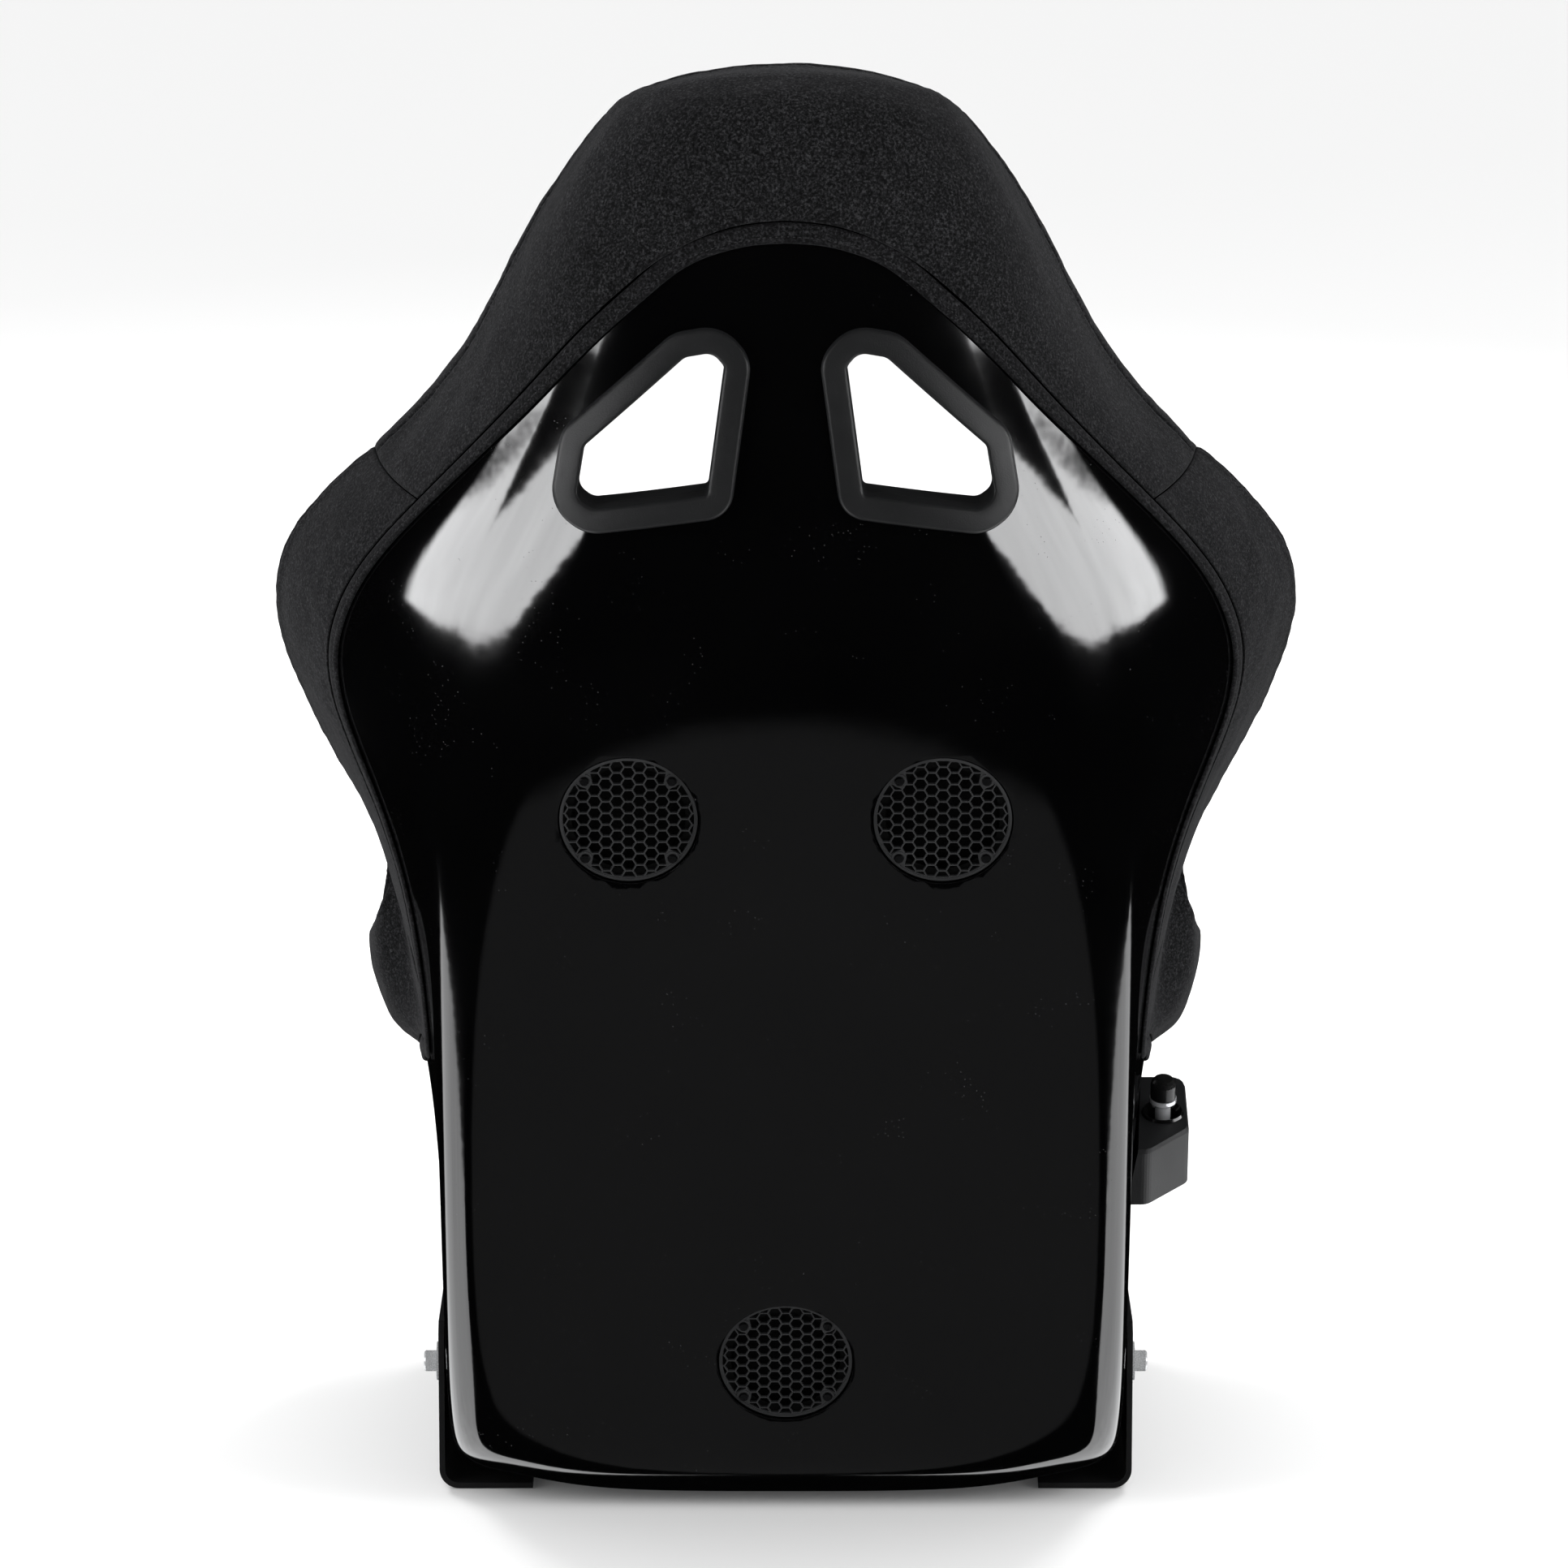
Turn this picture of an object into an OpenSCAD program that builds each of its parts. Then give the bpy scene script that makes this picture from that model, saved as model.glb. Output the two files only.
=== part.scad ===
// Fixed-back racing seat: glossy moulded shell, fabric covers and pads, harness slots, vents, side brackets and a side push adjuster.
// The seat faces -Y, its back faces +Y, +Z is up. Units are millimetres.

/* [Shell] */
// wall thickness of the moulded shell
shell_wall = 4; // [3:0.5:6]
// gap kept between the shell and everything soft
fabric_gap = 1.2; // [0.8:0.1:2]

/* [Covers] */
// how far the padded cover stands out past the shell rim
rim_bulge = 14; // [8:1:18]
// thickness of the cover on the outside of the shell, at its binding
cover_edge = 3.8; // [2:0.5:5]
// thickness of the cover on the outside of the shell, near the rim
cover_back = 7; // [5:0.5:10]
// thickness of the foam on the inside of the rim
cover_front = 20; // [12:1:26]
// width of the binding strip round the covers
binding_width = 12; // [8:1:16]

/* [Pads] */
// thickness of the seat base pad
base_pad_thickness = 38; // [25:1:45]
// thickness of the back pads
back_pad_thickness = 26; // [16:1:34]
// thickness of the lumbar pad
lumbar_pad_thickness = 36; // [20:1:40]

/* [Vents] */
// radius of each round grille
grille_radius = 40.8; // [36:0.2:44]
// distance of the upper vents from the centre line
vent_offset = 92; // [80:1:100]

/* [Brackets] */
// thickness of the side bracket steel
bracket_steel = 3.5; // [3:0.5:5]
// width of the bottom flange
flange_width = 58; // [45:1:65]
// outside bend radius of the bracket
bend_radius = 12; // [8:1:15]
// height of the bracket at its rear edge
bracket_height = 106; // [95:1:115]
// distance of the floor bolt holes from the centre line
floor_hole_offset = 178; // [170:1:190]

/* [Adjuster] */
// travel of the push knob
knob_travel = 8; // [6:0.5:8]
// pitch of the adjuster housing, front end up
housing_pitch = 17; // [0:1:25]

/* [Hidden] */
ys = 107;
zs = 0;
NET = [
 [[0,-400,118],[100,-400,118],[168,-400,120],[203,-400,126],[209,-400,146],[211,-397,168],[214,-394,188],[216,-390,204]],
 [[0,-335,90],[108,-335,90],[168,-335,94],[205,-335,98],[209.5,-334,120],[211,-331,162],[222,-326,214],[234,-320,256]],
 [[0,-245,46],[112,-245,46],[164,-245,54],[206,-245,58],[209.5,-245,80],[210,-241,152],[228,-234,246],[247,-228,306]],
 [[0,-150,12],[116,-150,12],[158,-150,22],[206,-150,26],[209.5,-152,50],[210,-158,150],[228,-163,258],[247,-165,324]],
 [[0,-70,1],[118,-70,1],[156,-70,12],[206,-70,15],[209.5,-74,42],[209.5,-92,142],[226,-118,262],[243,-129,334]],
 [[0,-4,-2],[120,-4,-2],[158,-4,10],[205,-6,14],[209.5,-14,42],[209.5,-50,142],[224,-96,274],[240,-111,346]],
 [[0,38,18],[116,38,18],[170,36,27],[204,30,34],[209.5,8,62],[209.5,-26,156],[224,-82,290],[239,-104,360]],
 [[0,59,100],[108,59,100],[182,59,100],[206,57,102],[210,32,112],[210,-14,180],[223,-74,306],[237,-98,374]],
 [[0,98,228],[104,98,228],[182,98,228],[206,96,229],[210,70,233],[212,8,268],[226,-58,344],[240,-92,396]],
 [[0,135,352],[100,135,352],[181,135,352],[206,130,352],[211,102,355],[218,42,374],[239,-34,408],[256,-82,430]],
 [[0,167,455],[98,167,455],[170,165,455],[204,154,455],[217,122,457],[236,66,462],[264,-8,472],[281,-66,480]],
 [[0,189,540],[92,187,540],[152,178,540],[202,154,540],[234,112,540],[262,58,540],[290,0,540],[306,-50,540]],
 [[0,198,612],[84,195,612],[142,179,612],[190,148,611],[228,102,609],[259,52,606],[286,6,603],[303,-34,600]],
 [[0,198,680],[74,195,680],[122,180,680],[160,150,679],[183,112,678],[198,74,677],[209,38,676],[217,6,675]],
 [[0,194,744],[60,190,744],[100,176,744],[130,152,744],[148,124,743],[159,96,742],[167,70,741],[172,46,740]],
 [[0,187,800],[54,183,800],[90,171,800],[116,151,800],[131,128,799],[139,104,798],[144,80,797],[148,58,796]],
 [[0,180,852],[46,177,852],[76,166,851],[97,149,849],[108,130,846],[114,110,844],[118,90,842],[120,70,840]],
 [[0,171,884],[38,168,882],[64,158,879],[80,145,876],[89,130,873],[94,114,871],[97,96,867],[99,80,864]],
 [[0,138,896],[36,136,893],[60,130,888],[75,124,883],[84,114,880],[89,104,880],[92,94,875],[94,84,871]],
 [[0,104,894],[36,104,891],[60,102,886],[74,100,881],[83,97,878],[88,93,878],[91,88,873],[92,84,869]]];
UM = 7;
VM = 19;
function mx(p) = [-p.x, p.y, p.z];
EN1 = [for (r = NET) concat([mx(r[1])], r, [2 * r[7] - r[6]])];
EN = concat([2 * EN1[0] - EN1[1]], EN1, [2 * EN1[VM] - EN1[VM - 1]]);
function w4(f) = [pow(1 - f, 3) / 6, (3 * f * f * f - 6 * f * f + 4) / 6, (-3 * f * f * f + 3 * f * f + 3 * f + 1) / 6, f * f * f / 6];
function d4(f) = [-pow(1 - f, 2) / 2, (3 * f * f - 4 * f) / 2, (-3 * f * f + 2 * f + 1) / 2, f * f / 2];
function clampi(t, m) = max(0, min(m - 1, floor(t)));
function rowv(i, j, b) = EN[i][j] * b[0] + EN[i][j + 1] * b[1] + EN[i][j + 2] * b[2] + EN[i][j + 3] * b[3];
function comb(i, j, a, b) = rowv(i, j, b) * a[0] + rowv(i + 1, j, b) * a[1] + rowv(i + 2, j, b) * a[2] + rowv(i + 3, j, b) * a[3];
function unit(v) = v / norm(v);
function sgn(u) = u < 0 ? -1 : 1;
// point on the outer face of the shell
function S(u, v) = let (a = abs(u), j = clampi(a, UM), i = clampi(v, VM), p = comb(i, j, w4(v - i), w4(a - j))) [sgn(u) * p.x, p.y, p.z];
// outward normal of the shell there
function N(u, v) = let (a = abs(u), j = clampi(a, UM), i = clampi(v, VM),
    pu = comb(i, j, w4(v - i), d4(a - j)), pv = comb(i, j, d4(v - i), w4(a - j)), n = unit(cross(pv, pu))) [sgn(u) * n.x, n.y, n.z];
function O(u, v, d) = S(u, v) + N(u, v) * d;
// smooth reading of a table of key values at t
function cr(t, k) = let (n = len(k) - 1, i = max(0, min(n - 1, floor(t))), f = t - i,
    p0 = k[max(0, i - 1)], p1 = k[i], p2 = k[i + 1], p3 = k[min(n, i + 2)])
    p1 + 0.5 * f * ((p2 - p0) + f * ((2 * p0 - 5 * p1 + 4 * p2 - p3) + f * (3 * p1 - p0 - 3 * p2 + p3)));
function flat1(a) = [for (x = a) each x];
function rng(a, b, n) = [for (i = [0:n]) a + (b - a) * i / n];
// closed solid from rings of points, capped at both ends
module tube(rings) {
    n = len(rings);
    m = len(rings[0]);
    polyhedron(points = flat1(rings), faces = concat(
        [for (i = [0:n - 2], j = [0:m - 1]) let (k = (j + 1) % m) each [[i * m + j, (i + 1) * m + k, i * m + k], [i * m + j, (i + 1) * m + j, (i + 1) * m + k]]],
        capf(m, 0, false), capf(m, (n - 1) * m, true)));
}
// zigzag cap of a long thin ring: first half against second half
function capf(m, o, rev) = let (h = floor(m / 2)) [for (k = [0:h - 2]) each
    let (a = k, b = k + 1, c = m - 1 - k, d = m - 2 - k)
    (b == d ? (rev ? [[o + a, o + c, o + b]] : [[o + a, o + b, o + c]])
     : rev ? [[o + a, o + c, o + d], [o + a, o + d, o + b]] : [[o + a, o + d, o + c], [o + a, o + b, o + d]])];
// closed solid from rings joined end to end
module torus(rings) {
    n = len(rings);
    m = len(rings[0]);
    polyhedron(points = flat1(rings), faces = [for (i = [0:n - 1], j = [0:m - 1]) let (k = (j + 1) % m, l = (i + 1) % n)
        each [[i * m + j, i * m + k, l * m + k], [i * m + j, l * m + k, l * m + j]]]);
}
// sheet between two grids of points
module slab(top, bot) {
    n = len(top);
    m = len(top[0]);
    q = n * m;
    function t(i, j) = i * m + j;
    function b(i, j) = q + i * m + j;
    polyhedron(points = concat(flat1(top), flat1(bot)), faces = concat(
        [for (i = [0:n - 2], j = [0:m - 2]) each [[t(i, j), t(i, j + 1), t(i + 1, j + 1)], [t(i, j), t(i + 1, j + 1), t(i + 1, j)],
            [b(i, j), b(i + 1, j + 1), b(i, j + 1)], [b(i, j), b(i + 1, j), b(i + 1, j + 1)]]],
        [for (i = [0:n - 2]) each [[t(i, 0), t(i + 1, 0), b(i + 1, 0)], [t(i, 0), b(i + 1, 0), b(i, 0)],
            [t(i, m - 1), b(i + 1, m - 1), t(i + 1, m - 1)], [t(i, m - 1), b(i, m - 1), b(i + 1, m - 1)]]],
        [for (j = [0:m - 2]) each [[t(0, j), b(0, j + 1), t(0, j + 1)], [t(0, j), b(0, j), b(0, j + 1)],
            [t(n - 1, j), t(n - 1, j + 1), b(n - 1, j + 1)], [t(n - 1, j), b(n - 1, j + 1), b(n - 1, j)]]]));
}
// which (u, v) lies behind a given x and z on the back of the shell
function inv(x, z, u = 1.2, v = 13, k = 7) = k == 0 ? [u, v] : let (p = S(u, v), a = (S(u + 0.04, v) - p) / 0.04, b = (S(u, v + 0.04) - p) / 0.04,
    dx = x - p.x, dz = z - p.z, det = a.x * b.z - b.x * a.z) inv(x, z, max(0.02, u + (dx * b.z - dz * b.x) / det), v + (a.x * dz - a.z * dx) / det, k - 1);
function yat(x, z) = let (q = inv(x, z)) S(q[0], q[1]).y;

// rim path: front centre 0, front corner 2, hip 3 to 6, waist 7, wing 8 to 11, head 12 to 16, top centre 19
// each key: rim u, rim v, binding u, binding v, inner edge u, inner edge v, inner and outer thickness factors
KEY = [
 [0, 0, 0, 0.8, 0, 0.75, 0.9, 1],
 [3.4, 0, 3.2, 0.8, 3, 0.75, 0.9, 1],
 [7, 0, 5.2, 1.2, 4.7, 1.25, 0.8, 1.1],
 [7, 1.5, 5.6, 1.8, 5, 1.7, 1, 1.5],
 [7, 3, 5.85, 3, 5.1, 3, 1, 1.8],
 [7, 4.5, 5.95, 4.5, 5.1, 4.5, 1, 1.8],
 [7, 6, 5.87, 5.9, 5, 6, 1, 1.6],
 [7, 7.4, 5.6, 7.4, 4.9, 7.4, 0.95, 1.2],
 [7, 8.7, 5.4, 8.8, 4.9, 8.8, 1, 1],
 [7, 9.7, 5.65, 10.1, 5, 9.9, 1, 1],
 [7, 10.6, 5.5, 10.8, 5.1, 10.8, 1, 1],
 [7, 11.5, 5, 11.5, 5.2, 11.5, 1, 1],
 [7, 12.5, 4.3, 12.3, 5.3, 12.4, 1, 1],
 [7, 13.5, 3.7, 12.9, 5.2, 13.4, 1, 1],
 [7, 14.6, 3.1, 13.4, 5.1, 14.5, 0.95, 1],
 [7, 15.8, 2.4, 14, 4.9, 15.6, 0.85, 1],
 [7, 17, 1.7, 14.5, 4.3, 16.3, 0.65, 1],
 [7, 19, 1.1, 14.9, 3.3, 16.9, 0.5, 1],
 [3.2, 19, 0.5, 15.1, 1.7, 17.2, 0.6, 1],
 [0, 19, 0, 15.15, 0, 17.25, 0.65, 1]];
function key(t) = t < 0 ? flip(cr(-t, KEY)) : cr(t, KEY);
function flip(k) = [-k[0], k[1], -k[2], k[3], -k[4], k[5], k[6], k[7]];
function lp(a, b, t) = a + (b - a) * t;
// point between binding (0) and rim (1) on the outside, at offset d
function po(k, t, d) = O(lp(k[2], k[0], t), lp(k[3], k[1], t), d);
// point between rim (0) and inner edge (1) on the inside
function pin_(k, t, d) = O(lp(k[0], k[4], t), lp(k[1], k[5], t), -shell_wall - d);
// outward direction across the rim
function rimdir(k) = let (a = po(k, 1, 0), b = po(k, 0.93, 0), n = N(k[0], k[1]), d = unit(a - b)) unit(d - n * (d * n));
RO = [0, 0.18, 0.42, 0.68, 0.9, 1];
RP = [0, 0.18, 0.4, 0.58, 0.74, 0.88, 1];
pocket_gap = 2.5;
// share of the binding-to-rim distance taken by a width of w
function wd(k, w) = w * 0.02 / norm(po(k, 0, 0) - po(k, 0.02, 0));
// one padded section round the rim: q scales the whole thickness (thin near a seam)
function sect(t, q = 1) = let (k = key(t), e = rimdir(k), n = N(k[0], k[1]), p = po(k, 1, 0) - n * (shell_wall / 2), t0 = wd(k, binding_width + 1), g = pocket_gap + (t > 15.5 ? 1.2 : 0), ge = t > 15.5 ? 7 : 1.6, qi = q * k[6], qo = q * k[7])
    concat(
        [for (r = RP) po(k, lp(t0, 1, r), g) + (r == 1 ? e * ge : [0, 0, 0])],
        [for (i = [len(RP) - 1:-1:0]) pin_(k, 1 - RP[i], g) + (i == len(RP) - 1 ? e * ge : [0, 0, 0])],
        [for (i = [0:5]) pin_(k, 1 - RO[i], max(3, qi * cover_front * [0.45, 0.8, 1.02, 1, 0.87, 0.78][i]))],
        [for (a = [-60, -35, -10, 15, 40, 65]) p + e * rim_bulge * q * cos(a) + n * (sin(a) < 0 ? qi * cover_front * 0.95 : qo * cover_back + 2) * sin(a)],
        [for (i = [5:-1:0]) po(k, lp(t0, 1, RO[i]), max(2.4, q * cover_back / 7 * (i == 0 ? cover_edge : [0, 5, 6.1, 6.8, 7.4, 7.8][i] * k[7])))]);
module cover(a, b, n) tube([for (i = [0:n]) let (t = lp(a, b, i / n), d = min(i, n - i), q = (n > 90 ? 1 : [0.72, 0.9, 0.97, 1][min(3, d)])) sect(t, q)]);

module place() translate([0, ys, zs]) children();

// moulded one-piece shell, with harness slots, vent holes and insert holes
module shell_body() slab(
    [for (v = VS) [for (u = US) O(u, v, 0)]],
    [for (v = VS) [for (u = US) O(u, v, -shell_wall)]]);
VS = [0, 1, 2, 3, 3.5, 4, 4.3, 4.6, 4.9, 5.2, 5.5, 5.8, 6.1, 6.5, 7, 8, 9, 9.6, 10.2, 10.8, 11.4, 12, 12.6, 13.2, 13.8, 14.1, 14.4, 15, 15.7, 16.4, 17, 17.4, 17.8, 18.2, 18.6, 19];
UH = [0.8, 1.5, 2, 2.3, 2.6, 2.9, 3.2, 3.5, 3.8, 4.1, 4.5, 5, 5.5, 6, 6.5, 7];
US = concat([for (i = [15:-1:0]) -UH[i]], [0], UH);
module shell() color([0.02, 0.02, 0.022]) place() difference() {
    shell_body();
    for (s = [-1, 1]) {
        slot_prism(s, 3.4);
        vent_axis(s, 0) cylinder(r = grille_radius + 0.6, h = 30, center = true, $fn = 96);
        for (b = BOLTS) translate([s * 205, b.x, b.y]) rotate([0, 90, 0]) cylinder(r = 5.6, h = 40, center = true, $fn = 48);
    }
    vent_axis(0, 0) cylinder(r = grille_radius + 0.6, h = 30, center = true, $fn = 96);
}
// bolt positions on the side walls: y, z
BOLTS = [[-42, 75], [-300, 112]];

// soft covers
HT = concat([for (i = [0:8]) 12.25 + i * 0.42], [for (i = [1:9]) 15.61 + i * 0.23], [for (i = [1:3]) 17.68 + i * 0.44]);
module head_cover() color([0.05, 0.05, 0.055]) place() let (h = [for (i = [0:20]) sect(HT[i], [0.72, 0.9, 0.97, 1][min(3, i)])])
    tube(concat(h, [for (i = [19:-1:0]) [for (p = h[i]) mx(p)]]));
module wing_cover_left() color([0.05, 0.05, 0.055]) place() cover(7.48, 12.2, 20);
module wing_cover_right() mirror([1, 0, 0]) wing_cover_left();
module hip_cover_left() color([0.05, 0.05, 0.055]) place() cover(2.05, 7.42, 20);
module hip_cover_right() mirror([1, 0, 0]) hip_cover_left();
module front_cover() color([0.05, 0.05, 0.055]) place() cover(-2, 2, 18);

// binding strip just inside the edge of the covers
function bind(t) = let (k = key(t), f = wd(k, binding_width), b = [0, 0.15, 0.5, 0.85, 1])
    concat([for (s = [1, 0.5, 0]) po(k, s * f, 2.5)], [for (i = [0:4]) po(k, b[i] * f, [2.9, 3.7, 4.1, 4.1, 3.3][i])]);
BT = concat([0, 0.5, 0.9, 1.15, 1.32, 1.48, 1.64, 1.8, 1.96, 2.12, 2.3, 2.6], [for (i = [1:37]) 2.6 + 16.4 * i / 37]);
module cover_binding() color([0.04, 0.04, 0.042]) place() torus(concat([for (t = BT) bind(t)], [for (i = [len(BT) - 2:-1:1]) [for (p = bind(BT[i])) mx(p)]]));

// a pad on the inside of the shell between v0 and v1, out to half-width hw(v) in u
function edge(s) = let (d = 1 - abs(s)) d < 0.02 ? 0.35 : d < 0.07 ? 0.78 : d < 0.16 ? 0.94 : 1;
PH = [0.17, 0.33, 0.43, 0.5, 0.57, 0.63, 0.7, 0.78, 0.86, 0.94, 0.985, 1];
PS = concat([for (i = [11:-1:0]) -PH[i]], [0], PH);
function ev_(n, j) = j == 0 || j == n ? 0.4 : j == 1 || j == n - 1 ? 0.8 : 1;
function rows(v0, v1, n) = [for (j = [0:n]) j == 0 ? v0 : j == n ? v1 : j == 1 ? v0 + (v1 - v0) * 0.02 : j == n - 1 ? v1 - (v1 - v0) * 0.02 : j == 2 ? v0 + (v1 - v0) * 0.07 : j == n - 2 ? v1 - (v1 - v0) * 0.07 : v0 + (v1 - v0) * (0.07 + 0.86 * (j - 2) / (n - 4))];
pad_gap = 2.2;
module pad(v0, v1, u0, u1, th, n = 10, um = 0, vm = 0) slab(
    [for (j = [0:n]) let (v = rows(v0, v1, n)[j]) [for (s = PS) let (u = s * hw(v, v0, v1, u0, u1, um)) O(u, v, -shell_wall - pad_gap)]],
    [for (j = [0:n]) let (v = rows(v0, v1, n)[j]) [for (s = PS) let (u = s * hw(v, v0, v1, u0, u1, um)) O(u, v, -shell_wall - pad_gap - th * edge(s) * ev_(n, j))]]);
function hw(v, v0, v1, u0, u1, um) = let (f = (v - v0) / (v1 - v0)) lp(u0, u1, f) + um * 4 * f * (1 - f);

module seat_base_pad() color([0.055, 0.055, 0.06]) place() difference() {
    pad(1.78, 6.24, 4.6, 4.6, base_pad_thickness, 14);
    bolt_pockets();
}
module bolt_pockets() for (s = [-1, 1], b = BOLTS) translate([s * 205, b.x, b.y]) rotate([0, 90, 0]) cylinder(r = 12, h = 36, center = true, $fn = 32);
module thigh_pad() color([0.055, 0.055, 0.06]) place() difference() {
    pad(1.02, 1.68, 4.05, 4.4, 30, 8);
    bolt_pockets();
}
module lumbar_pad() color([0.055, 0.055, 0.06]) place() difference() {
    pad(6.44, 9.05, 4.45, 4.5, lumbar_pad_thickness, 12);
    vent_axis(0, 0) cylinder(r = 51, h = 27, center = true, $fn = 72);
}
module back_pad() color([0.055, 0.055, 0.06]) place() difference() {
    pad(9.1, 11.6, 4.5, 4.7, back_pad_thickness, 12);
    for (s = [-1, 1]) vent_axis(s, 0) cylinder(r = 51, h = 27, center = true, $fn = 72);
}
module shoulder_pad() color([0.055, 0.055, 0.06]) place() difference() {
    pad(11.65, 14.6, 4.75, 4.4, back_pad_thickness - 4, 14);
    for (s = [-1, 1]) slot_prism(s, 4.2, 130);
}
module head_pad() color([0.055, 0.055, 0.06]) place() pad(14.65, 16.65, 4.4, 3, 26, 12);

// harness slot outline, x and z of the opening on the left side
SLOT = [[58, 742], [42, 745], [35, 737], [45, 663], [112, 653], [121, 659], [116, 689]];
SR = [9, 9, 6, 3, 9, 8, 6];
function arcpts(i, off) = let (n = len(SLOT), p = SLOT[i], a = SLOT[(i + n - 1) % n], b = SLOT[(i + 1) % n],
    ua = unit(a - p), ub = unit(b - p), half = acos(ua * ub) / 2, r = SR[i], c = p + unit(ua + ub) * (r / sin(half)),
    na = -perp(ua, c - p), nb = -perp(ub, c - p))
    [for (f = [0, 0.33, 0.67, 1]) let (d = unit(na * (1 - f) + nb * f)) c + d * (r + off)];
function perp(u, w) = let (d = w - u * (w * u)) unit(d);
function loop(off) = flat1([for (i = [0:len(SLOT) - 1]) arcpts(i, off)]);
module slot_prism(s, off, y0 = 120) mirror([s < 0 ? 1 : 0, 0, 0]) translate([0, 230, 0]) rotate([90, 0, 0]) linear_extrude(230 - y0 + 20) polygon(loop(off));
function onback(off, d) = [for (p = loop(off)) [p.x, yat(p.x, p.y) + d, p.y]];
L0 = onback(0, 0);
L1 = onback(1.6, 0);
L3 = onback(3, 0);
L12 = onback(12.5, 0);
L15 = onback(15, 0);
L11 = onback(11, 0);
function up(l, d) = [for (p = l) [p.x, p.y + d, p.z]];
function across(ls) = [for (j = [0:len(ls[0]) - 1]) [for (l = ls) l[j]]];
module bezel_rear() color([0.12, 0.12, 0.125]) place() torus(across([up(L0, 3.8), up(L1, 5.2), up(L12, 5.6), up(L15, 3.8), up(L15, 2.5), up(L3, 2.5), up(L3, -16), up(L0, -16)]));
module bezel_front() color([0.12, 0.12, 0.125]) place() torus(across([up(L0, -16.4), up(L3, -16.4), up(L3, -34), up(L11, -38), up(L11, -40), up(L1, -43), up(L0, -42)]));
module harness_bezel_rear_left() bezel_rear();
module harness_bezel_rear_right() mirror([1, 0, 0]) bezel_rear();
module harness_bezel_front_left() bezel_front();
module harness_bezel_front_right() mirror([1, 0, 0]) bezel_front();

// vent axes: s = -1 or 1 upper, 0 lower; local +z points out of the back
UPV = [vent_offset, 168, 464];
LOV = [0, 60.4, 103];
module vent_axis(s, d) {
    if (s == 0) translate(LOV) rotate([-90 - 17, 0, 0]) translate([0, 0, d]) children();
    else translate([s * UPV.x, UPV.y, UPV.z]) rotate([-90 - 15.5, 0, 0]) translate([0, 0, d]) children();
}
// round grille: hexagon mesh in a thin raised rim with four screw ears
module hexes() for (i = [-6:6], j = [-6:6]) translate([i * 6.6, j * 7.62 + (abs(i) % 2) * 3.81])
    if (norm([i * 6.6, j * 7.62 + (abs(i) % 2) * 3.81]) < 34.6) circle(r = 3.95, $fn = 6);
module ears() for (a = [45:90:315]) rotate(a) translate([36.1, 0]) circle(r = 4.2, $fn = 32);
module grille() difference() {
    cylinder(r = grille_radius, h = 2.6, $fn = 96);
    translate([0, 0, 2]) linear_extrude(2) difference() {
        circle(r = 38.9, $fn = 72);
        ears();
    }
    translate([0, 0, -1]) linear_extrude(5) difference() {
        hexes();
        ears();
    }
    for (a = [45:90:315]) rotate(a) translate([36.1, 0, -1]) cylinder(r = 1.75, h = 5, $fn = 24);
}
module vent_grille_upper_left() color([0.03, 0.03, 0.032]) place() vent_axis(1, -5.2) grille();
module vent_grille_upper_right() color([0.03, 0.03, 0.032]) place() vent_axis(-1, -5.2) grille();
module vent_grille_lower() color([0.03, 0.03, 0.032]) place() vent_axis(0, -5.2) grille();
module cup() difference() {
    union() {
        cylinder(r = 40.7, h = 5.4, $fn = 96);
        translate([0, 0, -1.6]) cylinder(r = 46, h = 2.4, $fn = 96);
    }
    translate([0, 0, -3]) cylinder(r = 33.5, h = 10, $fn = 72);
    for (a = [45:90:315]) rotate(a) translate([36.1, 0, 1]) cylinder(r = 1.3, h = 8, $fn = 24);
}
module vent_cups() color([0.05, 0.05, 0.05]) place() for (s = [-1, 0, 1]) vent_axis(s, -10.8) cup();
module screw() {
    cylinder(r = 1.28, h = 7.3, $fn = 24);
    translate([0, 0, 7.2]) cylinder(r1 = 3, r2 = 2.4, h = 1.5, $fn = 32);
}
module vent_screws() color([0.1, 0.1, 0.1]) place() for (s = [-1, 0, 1]) vent_axis(s, -9.6) for (a = [45:90:315]) rotate(a) translate([36.1, 0, 0]) screw();

// side bracket: upright plate, bend and bottom flange
BX = 211.5;
BY = -17;
BF = -322;
module bracket() difference() {
    union() {
        translate([BX, 0, 0]) rotate([90, 0, 90]) linear_extrude(bracket_steel) polygon([[BY, bend_radius], [BY, bracket_height - 6], [BY - 6, bracket_height], [-80, bracket_height + 2], [-270, bracket_height + 22], [-314, bracket_height + 22], [BF, bracket_height + 14], [BF, bend_radius]]);
        translate([BX + bracket_steel - flange_width, BF, 0]) cube([flange_width - bend_radius, BY - BF, bracket_steel]);
        translate([BX + bracket_steel - bend_radius, BY, bend_radius]) rotate([90, 0, 0]) intersection() {
            difference() {
                cylinder(r = bend_radius, h = BY - BF, $fn = 64);
                translate([0, 0, -1]) cylinder(r = bend_radius - bracket_steel, h = BY - BF + 2, $fn = 64);
            }
            translate([0, -bend_radius, 0]) cube([bend_radius, bend_radius, BY - BF]);
        }
    }
    for (b = BOLTS) translate([BX + 2, b.x, b.y]) rotate([0, 90, 0]) cylinder(r = 4.3, h = 20, center = true, $fn = 48);
    for (y = [-56, -296]) translate([floor_hole_offset, y, -5]) cylinder(r = 4.5, h = 20, $fn = 48);
}
module side_bracket_left() color([0.05, 0.05, 0.052]) place() bracket();
module side_bracket_right() mirror([1, 0, 0]) side_bracket_left();
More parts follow.
